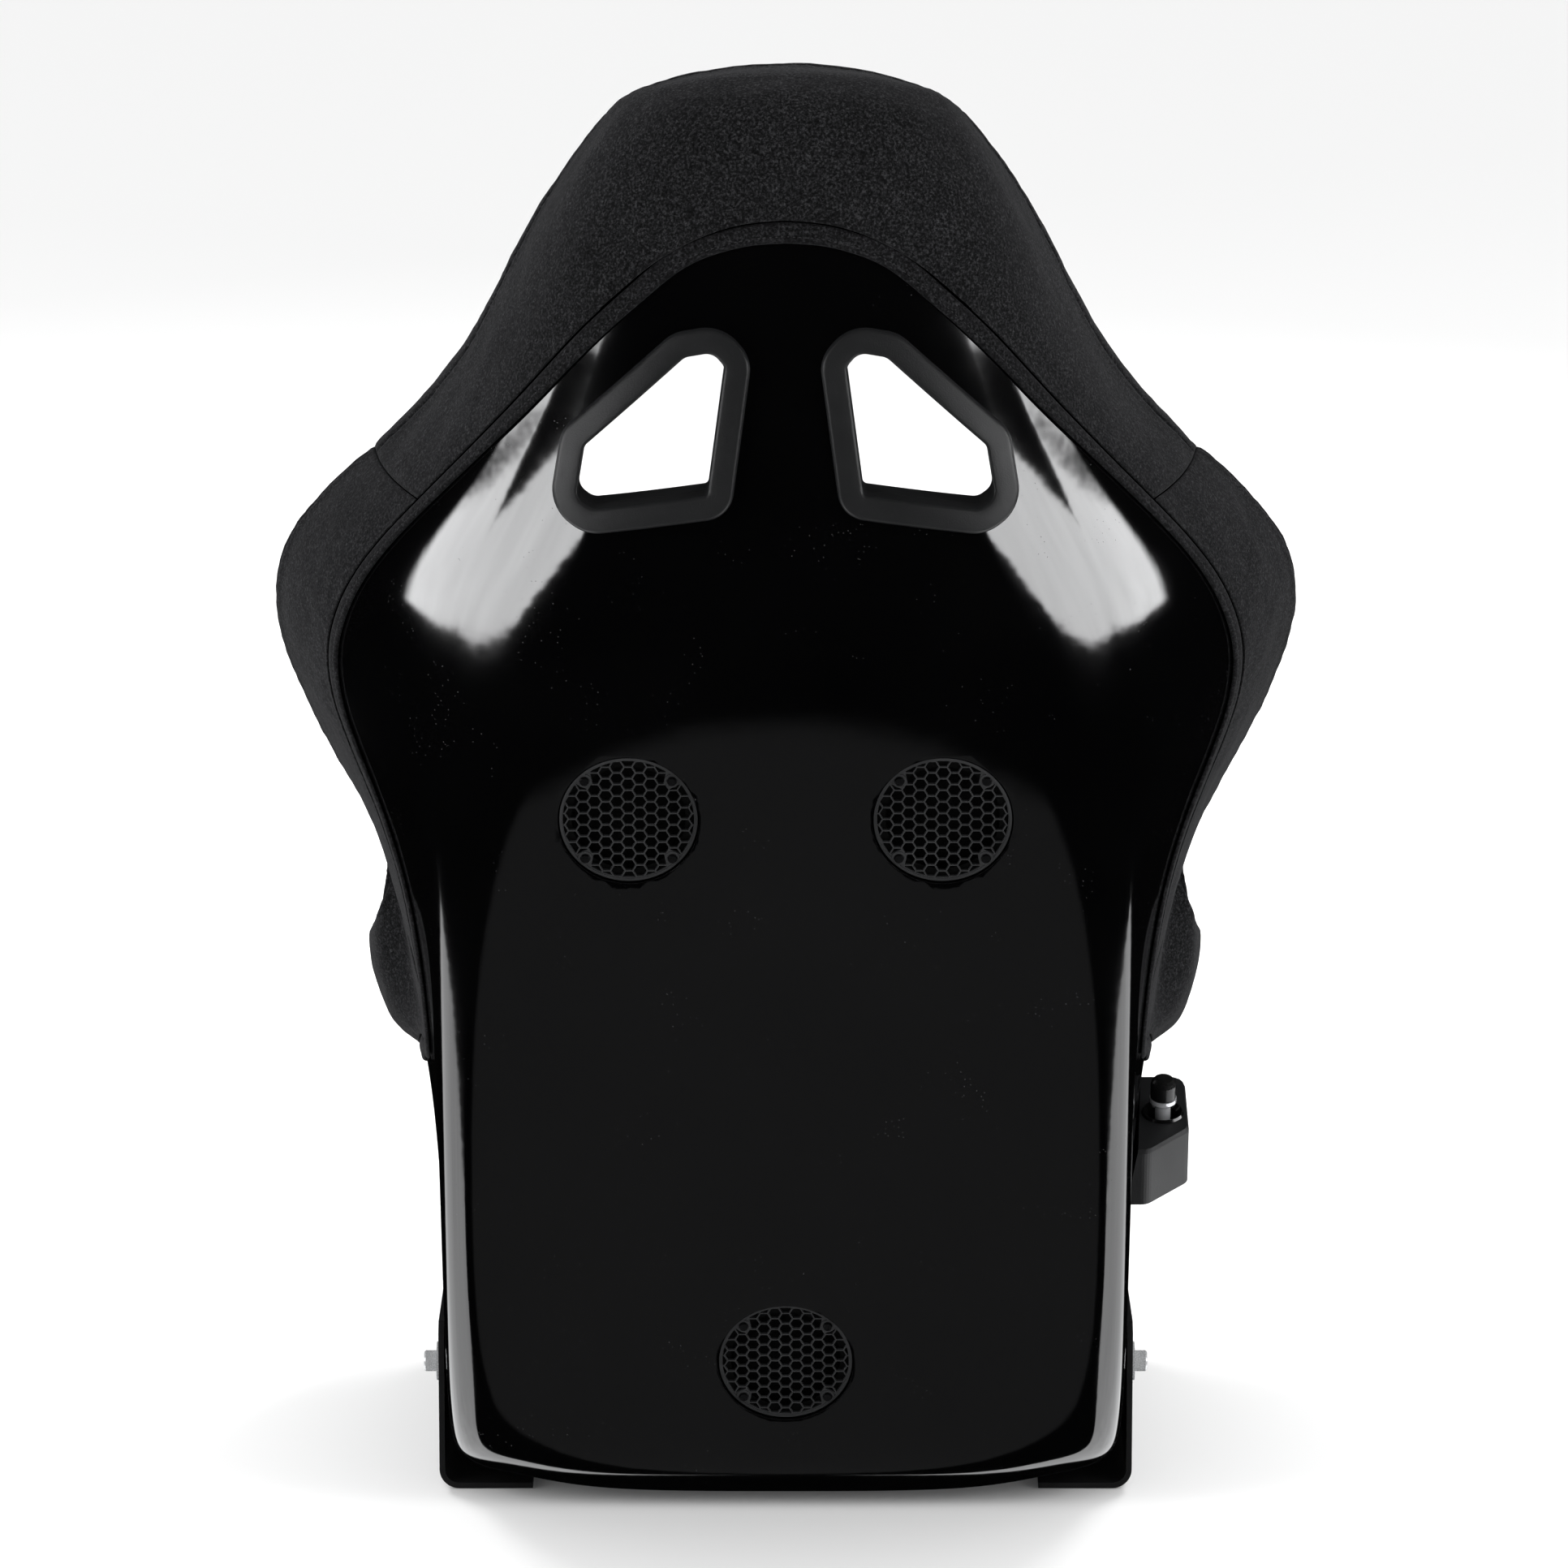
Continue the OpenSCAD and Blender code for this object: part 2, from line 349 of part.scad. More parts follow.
module at_bolts() for (s = [-1, 1], b = BOLTS) mirror([s < 0 ? 1 : 0, 0, 0]) translate([BX + bracket_steel, b.x, b.y]) rotate([0, 90, 0]) children();
module bracket_washers() color([0.75, 0.75, 0.76]) place() at_bolts() difference() {
    cylinder(r = 12, h = 2, $fn = 64);
    translate([0, 0, -1]) cylinder(r = 4.3, h = 4, $fn = 48);
}
module bracket_bolts() color([0.7, 0.7, 0.71]) place() at_bolts() difference() {
    union() {
        translate([0, 0, -22]) cylinder(r = 3.95, h = 24.5, $fn = 48);
        translate([0, 0, 2.02]) cylinder(r = 6.5, h = 6.9, $fn = 64);
        translate([0, 0, 8.92]) cylinder(r1 = 6.5, r2 = 5.6, h = 1, $fn = 64);
    }
    translate([0, 0, 5.4]) cylinder(r = 3.46, h = 6, $fn = 6);
}
module threaded_inserts() color([0.6, 0.6, 0.58]) place() for (s = [-1, 1], b = BOLTS) mirror([s < 0 ? 1 : 0, 0, 0]) translate([BX - 0.2, b.x, b.y]) rotate([0, -90, 0]) difference() {
    union() {
        cylinder(r = 5.5, h = 17.5, $fn = 48);
        translate([0, 0, 7.4]) cylinder(r = 9, h = 2, $fn = 48);
    }
    translate([0, 0, -1]) cylinder(r = 4, h = 20, $fn = 48);
}

// push adjuster on the sitter's right side
AX = [-237.5, -128, 212];
module adj() translate(AX) rotate([-housing_pitch, 0, 0]) children();
module adjuster_housing() color([0.1, 0.1, 0.102]) place() difference() {
    adj() union() {
        translate([0, 0, -40]) linear_extrude(37) hp(0);
        translate([0, 0, -3.01]) linear_extrude(3.01, scale = [0.93, 0.97]) hp(0);
    }
    adj() translate([0, 0, -22]) cylinder(r = 12.4, h = 40, $fn = 64);
    adj() translate([0, 0, -36]) cylinder(r = 5.06, h = 40, $fn = 48);
    wall_cut();
}
// rounded outline of the housing seen along its own height
HP = [[30, -45], [30, 45], [11, 45], [-16, 18], [-16, -45]];
HR = [2, 2, 9, 9, 9];
function rnd(P, R) = let (n = len(P)) flat1([for (i = [0:n - 1]) let (p = P[i], a = P[(i + n - 1) % n], b = P[(i + 1) % n],
    ua = unit(a - p), ub = unit(b - p), half = acos(ua * ub) / 2, r = R[i], c = p + unit(ua + ub) * (r / sin(half)), na = -perp(ua, c - p), nb = -perp(ub, c - p))
    [for (f = [0, 0.25, 0.5, 0.75, 1]) c + unit(na * (1 - f) + nb * f) * r]]);
module hp(o) polygon(rnd(HP, HR));
module wall_cut() translate([0, -300, 0]) rotate([90, 0, 180]) linear_extrude(400) polygon([[150, 100], [211, 100], [213.4, 145], [214.9, 160], [216.6, 175], [218.9, 190], [221.5, 205], [224.6, 220], [228, 235], [241, 290], [150, 290]]);
module adjuster_collar() color([0.02, 0.02, 0.02]) place() adj() difference() {
    union() {
        translate([0, 0, -9]) cylinder(r = 12.3, h = 9.4, $fn = 64);
        translate([0, 0, 0.3]) cylinder(r1 = 13.4, r2 = 12.6, h = 1.6, $fn = 64);
    }
    translate([0, 0, -10]) cylinder(r = 5.5, h = 14, $fn = 64);
    translate([0, 0, -7.4]) cylinder(r = 9.2, h = 12, $fn = 64);
    translate([0, 0, -0.8]) cylinder(r1 = 9.2, r2 = 12.1, h = 2.9, $fn = 64);
}
module adjuster_stem() color([0.8, 0.8, 0.82]) place() adj() union() {
    translate([0, 0, -knob_travel - 16]) cylinder(r = 5, h = knob_travel + 26, $fn = 48);
    translate([0, 0, 5.5]) cylinder(r1 = 5, r2 = 8.5, h = 3.5, $fn = 48);
    translate([0, 0, 9]) cylinder(r = 8.5, h = 2.5, $fn = 48);
}
module adjuster_knob() color([0.03, 0.03, 0.03]) place() adj() translate([0, 0, 11.52]) rotate_extrude($fn = 64) polygon([[0, 0], [7.6, 0], [8, 0.8], [8, 9.6], [7.4, 12], [5.8, 13.8], [3.4, 14.6], [0, 14.8]]);
module adjuster_spring() color([0.5, 0.5, 0.52]) place() adj() translate([0, 0, -35.8]) difference() {
    cylinder(r = 4.6, h = 11.6, $fn = 40);
    translate([0, 0, -1]) cylinder(r = 3.4, h = 14, $fn = 40);
}
shell();
head_cover();
wing_cover_left();
wing_cover_right();
hip_cover_left();
hip_cover_right();
front_cover();
cover_binding();
head_pad();
shoulder_pad();
back_pad();
lumbar_pad();
seat_base_pad();
thigh_pad();
harness_bezel_rear_left();
harness_bezel_rear_right();
harness_bezel_front_left();
harness_bezel_front_right();
vent_grille_upper_left();
vent_grille_upper_right();
vent_grille_lower();
vent_cups();
vent_screws();
side_bracket_left();
side_bracket_right();
bracket_bolts();
bracket_washers();
threaded_inserts();
adjuster_housing();
adjuster_collar();
adjuster_stem();
adjuster_knob();
adjuster_spring();
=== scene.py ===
import bpy, bmesh, math
import numpy as np
from mathutils import Vector, Matrix, Euler

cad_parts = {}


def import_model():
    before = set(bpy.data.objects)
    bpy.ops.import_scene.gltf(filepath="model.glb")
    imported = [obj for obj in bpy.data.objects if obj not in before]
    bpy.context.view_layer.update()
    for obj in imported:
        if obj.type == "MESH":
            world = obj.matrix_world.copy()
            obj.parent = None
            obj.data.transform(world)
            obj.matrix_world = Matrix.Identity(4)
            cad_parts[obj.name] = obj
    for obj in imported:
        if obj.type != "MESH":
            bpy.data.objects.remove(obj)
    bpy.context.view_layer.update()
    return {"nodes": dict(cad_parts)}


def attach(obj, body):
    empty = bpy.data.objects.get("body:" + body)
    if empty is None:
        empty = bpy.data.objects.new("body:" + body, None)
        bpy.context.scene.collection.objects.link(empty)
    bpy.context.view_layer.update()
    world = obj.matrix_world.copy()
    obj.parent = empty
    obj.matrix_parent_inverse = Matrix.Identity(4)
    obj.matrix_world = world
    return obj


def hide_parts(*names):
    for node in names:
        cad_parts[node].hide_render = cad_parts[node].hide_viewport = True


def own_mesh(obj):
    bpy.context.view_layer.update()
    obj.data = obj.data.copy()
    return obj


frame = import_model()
YS = 107.0
NODES = frame["nodes"]

# ---------------------------------------------------------------- surface of the shell, same rules as part.scad (mm)
NET = np.array([
 [[0,-400,118],[100,-400,118],[168,-400,120],[203,-400,126],[209,-400,146],[211,-397,168],[214,-394,188],[216,-390,204]],
 [[0,-335,90],[108,-335,90],[168,-335,94],[205,-335,98],[209.5,-334,120],[211,-331,162],[222,-326,214],[234,-320,256]],
 [[0,-245,46],[112,-245,46],[164,-245,54],[206,-245,58],[209.5,-245,80],[210,-241,152],[228,-234,246],[247,-228,306]],
 [[0,-150,12],[116,-150,12],[158,-150,22],[206,-150,26],[209.5,-152,50],[210,-158,150],[228,-163,258],[247,-165,324]],
 [[0,-70,1],[118,-70,1],[156,-70,12],[206,-70,15],[209.5,-74,42],[209.5,-92,142],[226,-118,262],[243,-129,334]],
 [[0,-4,-2],[120,-4,-2],[158,-4,10],[205,-6,14],[209.5,-14,42],[209.5,-50,142],[224,-96,274],[240,-111,346]],
 [[0,38,18],[116,38,18],[170,36,27],[204,30,34],[209.5,8,62],[209.5,-26,156],[224,-82,290],[239,-104,360]],
 [[0,59,100],[108,59,100],[182,59,100],[206,57,102],[210,32,112],[210,-14,180],[223,-74,306],[237,-98,374]],
 [[0,98,228],[104,98,228],[182,98,228],[206,96,229],[210,70,233],[212,8,268],[226,-58,344],[240,-92,396]],
 [[0,135,352],[100,135,352],[181,135,352],[206,130,352],[211,102,355],[218,42,374],[239,-34,408],[256,-82,430]],
 [[0,167,455],[98,167,455],[170,165,455],[204,154,455],[217,122,457],[236,66,462],[264,-8,472],[281,-66,480]],
 [[0,189,540],[92,187,540],[152,178,540],[202,154,540],[234,112,540],[262,58,540],[290,0,540],[306,-50,540]],
 [[0,198,612],[84,195,612],[142,179,612],[190,148,611],[228,102,609],[259,52,606],[286,6,603],[303,-34,600]],
 [[0,198,680],[74,195,680],[122,180,680],[160,150,679],[183,112,678],[198,74,677],[209,38,676],[217,6,675]],
 [[0,194,744],[60,190,744],[100,176,744],[130,152,744],[148,124,743],[159,96,742],[167,70,741],[172,46,740]],
 [[0,187,800],[54,183,800],[90,171,800],[116,151,800],[131,128,799],[139,104,798],[144,80,797],[148,58,796]],
 [[0,180,852],[46,177,852],[76,166,851],[97,149,849],[108,130,846],[114,110,844],[118,90,842],[120,70,840]],
 [[0,171,884],[38,168,882],[64,158,879],[80,145,876],[89,130,873],[94,114,871],[97,96,867],[99,80,864]],
 [[0,138,896],[36,136,893],[60,130,888],[75,124,883],[84,114,880],[89,104,880],[92,94,875],[94,84,871]],
 [[0,104,894],[36,104,891],[60,102,886],[74,100,881],[83,97,878],[88,93,878],[91,88,873],[92,84,869]]], float)
UM, VM = 7.0, 19.0
def _ext(net):
    L = net[:, 1:2] * np.array([-1, 1, 1]); R = 2 * net[:, -1:] - net[:, -2:-1]
    e = np.concatenate([L, net, R], 1)
    return np.concatenate([2 * e[:1] - e[1:2], e, 2 * e[-1:] - e[-2:-1]], 0)
EN = _ext(NET)
def w4(f): return np.stack([(1-f)**3/6, (3*f**3-6*f**2+4)/6, (-3*f**3+3*f**2+3*f+1)/6, f**3/6], -1)
def d4(f): return np.stack([-(1-f)**2/2, (3*f*f-4*f)/2, (-3*f*f+2*f+1)/2, f*f/2], -1)
def ev(u, v):
    u = np.asarray(u, float); v = np.asarray(v, float); u, v = np.broadcast_arrays(u, v)
    sg = np.where(u < 0, -1.0, 1.0); ua = np.abs(u)
    iu = np.clip(np.floor(ua), 0, UM-1).astype(int); iv = np.clip(np.floor(v), 0, VM-1).astype(int)
    fu = ua-iu; fv = v-iv
    wu, wv, du, dv = w4(fu), w4(fv), d4(fu), d4(fv)
    P = 0; Pu = 0; Pv = 0
    for a in range(4):
        for b in range(4):
            C = EN[iv+a, iu+b]
            P = P+C*(wv[..., a]*wu[..., b])[..., None]; Pu = Pu+C*(wv[..., a]*du[..., b])[..., None]; Pv = Pv+C*(dv[..., a]*wu[..., b])[..., None]
    N = np.cross(Pv, Pu); N /= np.linalg.norm(N, axis=-1, keepdims=True)
    m = np.stack([sg, np.ones_like(sg), np.ones_like(sg)], -1)
    return P*m, N*m
def O(u, v, d):
    P, N = ev(u, v); return P + N*np.asarray(d, float)[..., None]
SW, GAP, RB, CE, CB, CF, BW = 4.0, 1.2, 14.0, 3.0, 7.0, 20.0, 12.0
KEY = np.array([
 [0, 0, 0, 0.8, 0, 0.75, 0.9, 1],
 [3.4, 0, 3.2, 0.8, 3, 0.75, 0.9, 1],
 [7, 0, 5.2, 1.2, 4.7, 1.25, 0.8, 1.1],
 [7, 1.5, 5.6, 1.8, 5, 1.7, 1, 1.5],
 [7, 3, 5.85, 3, 5.1, 3, 1, 1.8],
 [7, 4.5, 5.95, 4.5, 5.1, 4.5, 1, 1.8],
 [7, 6, 5.87, 5.9, 5, 6, 1, 1.6],
 [7, 7.4, 5.6, 7.4, 4.9, 7.4, 0.95, 1.2],
 [7, 8.7, 5.4, 8.8, 4.9, 8.8, 1, 1],
 [7, 9.7, 5.65, 10.1, 5, 9.9, 1, 1],
 [7, 10.6, 5.5, 10.8, 5.1, 10.8, 1, 1],
 [7, 11.5, 5, 11.5, 5.2, 11.5, 1, 1],
 [7, 12.5, 4.3, 12.3, 5.3, 12.4, 1, 1],
 [7, 13.5, 3.7, 12.9, 5.2, 13.4, 1, 1],
 [7, 14.6, 3.1, 13.4, 5.1, 14.5, 0.95, 1],
 [7, 15.8, 2.4, 14, 4.9, 15.6, 0.85, 1],
 [7, 17, 1.7, 14.5, 4.3, 16.3, 0.65, 1],
 [7, 19, 1.1, 14.9, 3.3, 16.9, 0.5, 1],
 [3.2, 19, 0.5, 15.1, 1.7, 17.2, 0.6, 1],
 [0, 19, 0, 15.15, 0, 17.25, 0.65, 1]], float)
def cr(t):
    k = KEY; n = len(k)-1; i = int(max(0, min(n-1, math.floor(t)))); f = t-i
    p0 = k[max(0, i-1)]; p1 = k[i]; p2 = k[i+1]; p3 = k[min(n, i+2)]
    return p1+0.5*f*((p2-p0)+f*((2*p0-5*p1+4*p2-p3)+f*(3*p1-p0-3*p2+p3)))
def key(t):
    s = -1 if (t < 0 or t > 19) else 1
    tt = -t if t < 0 else (38-t if t > 19 else t)
    k = cr(tt).copy()
    if s < 0: k[0:6:2] *= -1
    return k
def lp(a, b, t): return a+(b-a)*t
def po(k, t, d): return O(lp(k[2], k[0], t), lp(k[3], k[1], t), d)
def pin(k, t, d): return O(lp(k[0], k[4], t), lp(k[1], k[5], t), -SW-d)
def unit(v): return v/np.linalg.norm(v, axis=-1, keepdims=True)
def rimframe(k):
    P, n = ev(k[0], k[1]); b = po(k, .93, 0.); d = unit(P-b); return P, n, unit(d-n*(d@n))
def wd(k, w): return w*0.02/np.linalg.norm(po(k, 0, 0.)-po(k, .02, 0.))
RO = np.array([0, .18, .42, .68, .9, 1])
RP = np.array([0, .18, .4, .58, .74, .88, 1])
def sect(t, q=1.):
    """one padded section: pocket (outside, then inside), foam face, rim roll, outside face"""
    k = key(t); P, n, e = rimframe(k); p = P-n*(SW/2); t0 = wd(k, BW+1.0); qi = q*k[6]; qo = q*k[7]
    tt = abs(t) if abs(t) <= 19 else 38-abs(t); g = 2.5+(1.2 if tt > 15.5 else 0.0); ge = 7.0 if tt > 15.5 else 1.6
    a = po(k, lp(t0, 1, RP), np.full(7, g)); a[-1] += e*ge
    b = pin(k, 1-RP[::-1], np.full(7, g)); b[0] += e*ge
    c = pin(k, 1-RO, np.maximum(3, qi*CF*np.array([0.45, 0.8, 1.02, 1, 0.87, 0.78])))
    d = [p+e*RB*q*math.cos(math.radians(x))+n*((qi*CF*.95) if x < 0 else (qo*CB+2))*math.sin(math.radians(x)) for x in (-60, -35, -10, 15, 40, 65)]
    o = np.array([3.4]+[x*k[7] for x in (5, 6.1, 6.8, 7.4, 7.8)])*(1-0.45*math.exp(-((tt-6.6)/0.6)**2))
    hip = 9.0/(1+math.exp(-(tt-2.45)/0.12))/(1+math.exp((tt-5.6)/0.22))*np.array([0.0, 0.75, 1.0, 0.95, 0.6, 0.25])
    f = po(k, lp(t0, 1, RO[::-1]), np.maximum(2.9, q*CB/7*o[::-1]+q*hip[::-1]))
    return a, b, c, np.array(d), f
# ---------------------------------------------------------------- mesh helpers
def to_m(P):
    P = np.asarray(P, float); return np.stack([P[..., 0], P[..., 1]+YS, P[..., 2]], -1)/1000.0
def mesh_from(name, V, F, smooth=True):
    me = bpy.data.meshes.new(name); me.from_pydata([tuple(p) for p in V], [], [tuple(f) for f in F]); me.validate()
    if smooth: me.polygons.foreach_set("use_smooth", [True]*len(me.polygons))
    me.update(); o = bpy.data.objects.new(name, me); bpy.context.scene.collection.objects.link(o); return o
def grid_faces(n, m, base=0, flip=False, wrap=False, close=False):
    F = []
    for i in range(n if close else n-1):
        for j in range(m if wrap else m-1):
            a = base+i*m+j; b = base+i*m+(j+1) % m; c = base+((i+1) % n)*m+(j+1) % m; d = base+((i+1) % n)*m+j
            F.append((a, d, c, b) if flip else (a, b, c, d))
    return F
def fix_normals(o):
    bm = bmesh.new(); bm.from_mesh(o.data); bmesh.ops.recalc_face_normals(bm, faces=bm.faces); bm.to_mesh(o.data); bm.free(); return o
def activate(o):
    bpy.ops.object.select_all(action='DESELECT'); o.select_set(True); bpy.context.view_layer.objects.active = o
def apply_mods(o):
    dg = bpy.context.evaluated_depsgraph_get(); me = bpy.data.meshes.new_from_object(o.evaluated_get(dg), preserve_all_data_layers=True, depsgraph=dg)
    old = o.data; o.modifiers.clear(); o.data = me; me.name = old.name
    return o
def boolean(o, cutter, op='DIFFERENCE', solver='EXACT'):
    m = o.modifiers.new("b", 'BOOLEAN'); m.operation = op; m.solver = solver; m.object = cutter
    apply_mods(o); bpy.data.objects.remove(cutter); return o
def shade(o, angle=35):
    me = o.data; me.polygons.foreach_set("use_smooth", [True]*len(me.polygons)); me.set_sharp_from_angle(angle=math.radians(angle)); me.update(); return o
def join(name, objs):
    bm = bmesh.new()
    for o in objs: bm.from_mesh(o.data)
    me = bpy.data.meshes.new(name); bm.to_mesh(me); bm.free(); mats = objs[0].data.materials[:]
    for o in objs: bpy.data.objects.remove(o)
    o = bpy.data.objects.new(name, me); bpy.context.scene.collection.objects.link(o)
    for m in mats: me.materials.append(m)
    return o
_seed = np.random.RandomState(7)
_ph = _seed.rand(64, 4)*6.283
_dr = unit(_seed.randn(64, 3))
def noise3(P, scale, octaves=3, seed=0):
    """smooth repeatable noise about -1..1; scale in mm"""
    P = np.asarray(P, float); r = 0; amp = 1.0; tot = 0
    for o in range(octaves):
        s = 0
        for k in range(7):
            q = (seed*11+o*7+k) % 64
            s = s+np.sin(P@_dr[q]*(6.283/scale)*(2**o)*(0.7+0.09*k)+_ph[q, 0]+1.7*np.sin(P@_dr[(q+5) % 64]*(6.283/scale)*(2**o)*0.43+_ph[q, 1]))
        r = r+amp*s/3.2; tot += amp; amp *= 0.5
    return r/tot

# ---------------------------------------------------------------- materials
def mat(name):
    m = bpy.data.materials.new(name); m.use_nodes = True; nt = m.node_tree; b = nt.nodes["Principled BSDF"]; return m, nt, b
def N_(nt, t, **kw):
    n = nt.nodes.new(t)
    for k, v in kw.items():
        if k in n.inputs: n.inputs[k].default_value = v
        else: setattr(n, k, v)
    return n
def L_(nt, a, b): nt.links.new(a, b)
def tex(nt, scale, detail=3.0, rough=0.6, kind="ShaderNodeTexNoise"):
    c = N_(nt, "ShaderNodeTexCoord"); t = N_(nt, kind); t.inputs["Scale"].default_value = scale
    if kind == "ShaderNodeTexNoise": t.inputs["Detail"].default_value = detail; t.inputs["Roughness"].default_value = rough
    L_(nt, c.outputs["Object"], t.inputs["Vector"]); return t
def ramp(nt, src, stops, interp='LINEAR'):
    r = N_(nt, "ShaderNodeValToRGB"); r.color_ramp.interpolation = interp
    e = r.color_ramp.elements
    while len(e) < len(stops): e.new(0.5)
    for i, (p, c) in enumerate(stops):
        e[i].position = p; e[i].color = (c, c, c, 1) if np.isscalar(c) else (*c, 1)
    L_(nt, src, r.inputs[0]); return r.outputs[0]
def mixc(nt, f, a, b, mode='MIX'):
    m = N_(nt, "ShaderNodeMix", data_type='RGBA', blend_type=mode)
    if np.isscalar(f): m.inputs[0].default_value = f
    else: L_(nt, f, m.inputs[0])
    for s, x in ((6, a), (7, b)):
        if isinstance(x, (tuple, list)): m.inputs[s].default_value = (*x, 1) if len(x) == 3 else x
        else: L_(nt, x, m.inputs[s])
    return m.outputs[2]
def bump(nt, b, h, strength=0.2, dist=0.0005, chain=None):
    n = N_(nt, "ShaderNodeBump"); n.inputs["Strength"].default_value = strength; n.inputs["Distance"].default_value = dist
    L_(nt, h, n.inputs["Height"])
    if chain is not None: L_(nt, chain, n.inputs["Normal"])
    if b is not None: L_(nt, n.outputs[0], b.inputs["Normal"])
    return n.outputs[0]

def gelcoat():
    m, nt, b = mat("gelcoat_black")
    peel = tex(nt, 42, 2.0, 0.5)
    fine = tex(nt, 1500, 2.0, 0.6)
    speck = tex(nt, 330, 0.0, 0.5, "ShaderNodeTexVoronoi")
    sp = ramp(nt, speck.outputs["Distance"], [(0.0, 1.0), (0.065, 1.0), (0.085, 0.0), (1.0, 0.0)])
    zone = tex(nt, 26, 2.0, 0.6)
    zm = ramp(nt, zone.outputs["Fac"], [(0.0, 0.0), (0.54, 0.0), (0.66, 1.0), (1.0, 1.0)])
    f = mixc(nt, 1.0, sp, zm, 'MULTIPLY')
    mottle = tex(nt, 7, 4.0, 0.6)
    base = ramp(nt, mottle.outputs["Fac"], [(0.3, (0.0005, 0.0005, 0.0006)), (0.7, (0.0011, 0.0011, 0.0012))])
    L_(nt, mixc(nt, f, base, (0.07, 0.07, 0.073)), b.inputs["Base Color"])
    smear = tex(nt, 11, 5.0, 0.7)
    r1 = ramp(nt, smear.outputs["Fac"], [(0.35, 0.045), (0.75, 0.085)])
    L_(nt, mixc(nt, f, r1, (0.6, 0.6, 0.6)), b.inputs["Roughness"])
    b.inputs["IOR"].default_value = 1.5; b.inputs["Specular IOR Level"].default_value = 0.95
    n1 = bump(nt, None, peel.outputs["Fac"], 0.05, 0.0012)
    bump(nt, b, f, 0.3, 0.0001, n1)
    return m
def velour(name, base=(0.0058, 0.0058, 0.0064), hi=(0.036, 0.036, 0.038), sheen=0.045, scale=1.0):
    m, nt, b = mat(name)
    pile = tex(nt, 620*scale, 4.0, 0.8)
    clump = tex(nt, 300*scale, 4.0, 0.7)
    broad = tex(nt, 14, 4.0, 0.6)
    c1 = ramp(nt, pile.outputs["Fac"], [(0.36, tuple(0.25*x for x in base)), (0.50, base), (0.66, hi)])
    c2 = ramp(nt, clump.outputs["Fac"], [(0.3, 0.6), (0.55, 1.0), (0.8, 1.45)])
    c3 = ramp(nt, broad.outputs["Fac"], [(0.3, 0.84), (0.7, 1.14)])
    L_(nt, mixc(nt, 1.0, mixc(nt, 1.0, c1, c2, 'MULTIPLY'), c3, 'MULTIPLY'), b.inputs["Base Color"])
    b.inputs["Roughness"].default_value = 0.95
    b.inputs["Specular IOR Level"].default_value = 0.12
    b.inputs["Sheen Weight"].default_value = sheen
    b.inputs["Sheen Roughness"].default_value = 0.45
    b.inputs["Sheen Tint"].default_value = (0.75, 0.76, 0.8, 1)
    n = bump(nt, None, clump.outputs["Fac"], 0.5, 0.0006)
    bump(nt, b, pile.outputs["Fac"], 0.7, 0.0004, n)
    return m
def tape():
    m, nt, b = mat("edge_tape")
    w = tex(nt, 1200, 2.0, 0.6); r = tex(nt, 260, 3.0, 0.6)
    wave = N_(nt, "ShaderNodeTexWave"); wave.inputs["Scale"].default_value = 520; wave.inputs["Distortion"].default_value = 3.0
    c = N_(nt, "ShaderNodeTexCoord"); L_(nt, c.outputs["Object"], wave.inputs["Vector"])
    k = ramp(nt, w.outputs["Fac"], [(0.3, (0.0035, 0.0035, 0.0038)), (0.7, (0.014, 0.014, 0.015))])
    L_(nt, mixc(nt, 0.35, k, mixc(nt, 1.0, k, wave.outputs["Color"], 'MULTIPLY')), b.inputs["Base Color"])
    b.inputs["Roughness"].default_value = 0.9; b.inputs["Specular IOR Level"].default_value = 0.2
    b.inputs["Sheen Weight"].default_value = 0.25; b.inputs["Sheen Roughness"].default_value = 0.4
    n = bump(nt, None, wave.outputs["Fac"], 0.3, 0.0003); bump(nt, b, r.outputs["Fac"], 0.4, 0.0004, n)
    return m
def plastic(name, base, rough=0.5, grain=1400, gb=0.35, ior=1.48, dust=0.0):
    m, nt, b = mat(name)
    g = tex(nt, grain, 2.0, 0.5); s = tex(nt, 24, 5.0, 0.65)
    c = ramp(nt, s.outputs["Fac"], [(0.3, tuple(0.85*x for x in base)), (0.75, tuple(1.15*x for x in base))])
    if dust > 0:
        d = tex(nt, 700, 2.0, 0.8); dm = ramp(nt, d.outputs["Fac"], [(0.0, 0.0), (0.66, 0.0), (0.76, dust), (1.0, dust)])
        c = mixc(nt, dm, c, (0.3, 0.3, 0.31))
    L_(nt, c, b.inputs["Base Color"])
    L_(nt, ramp(nt, s.outputs["Fac"], [(0.3, rough-0.05), (0.8, rough+0.08)]), b.inputs["Roughness"])
    b.inputs["IOR"].default_value = ior
    if gb > 0: bump(nt, b, g.outputs["Fac"], gb, 0.00012)
    return m
def metal(name, base, rough=0.28, scratch=True, metallic=1.0):
    m, nt, b = mat(name)
    s = tex(nt, 60, 5.0, 0.7); f = tex(nt, 900, 3.0, 0.7)
    c = ramp(nt, s.outputs["Fac"], [(0.3, tuple(0.82*x for x in base)), (0.7, base)])
    L_(nt, c, b.inputs["Base Color"]); b.inputs["Metallic"].default_value = metallic
    L_(nt, ramp(nt, f.outputs["Fac"], [(0.3, rough*0.75), (0.75, rough*1.35)]), b.inputs["Roughness"])
    if scratch: bump(nt, b, f.outputs["Fac"], 0.12, 0.0001)
    return m
M = {}
M["gelcoat"] = gelcoat()
M["cover"] = velour("velour_cover")
M["pad"] = velour("velour_pad", base=(0.0125, 0.0125, 0.0135), hi=(0.04, 0.04, 0.042), sheen=0.2)
M["tape"] = velour("velour_tape", base=(0.0055, 0.0055, 0.006), hi=(0.030, 0.030, 0.032), sheen=0.04)
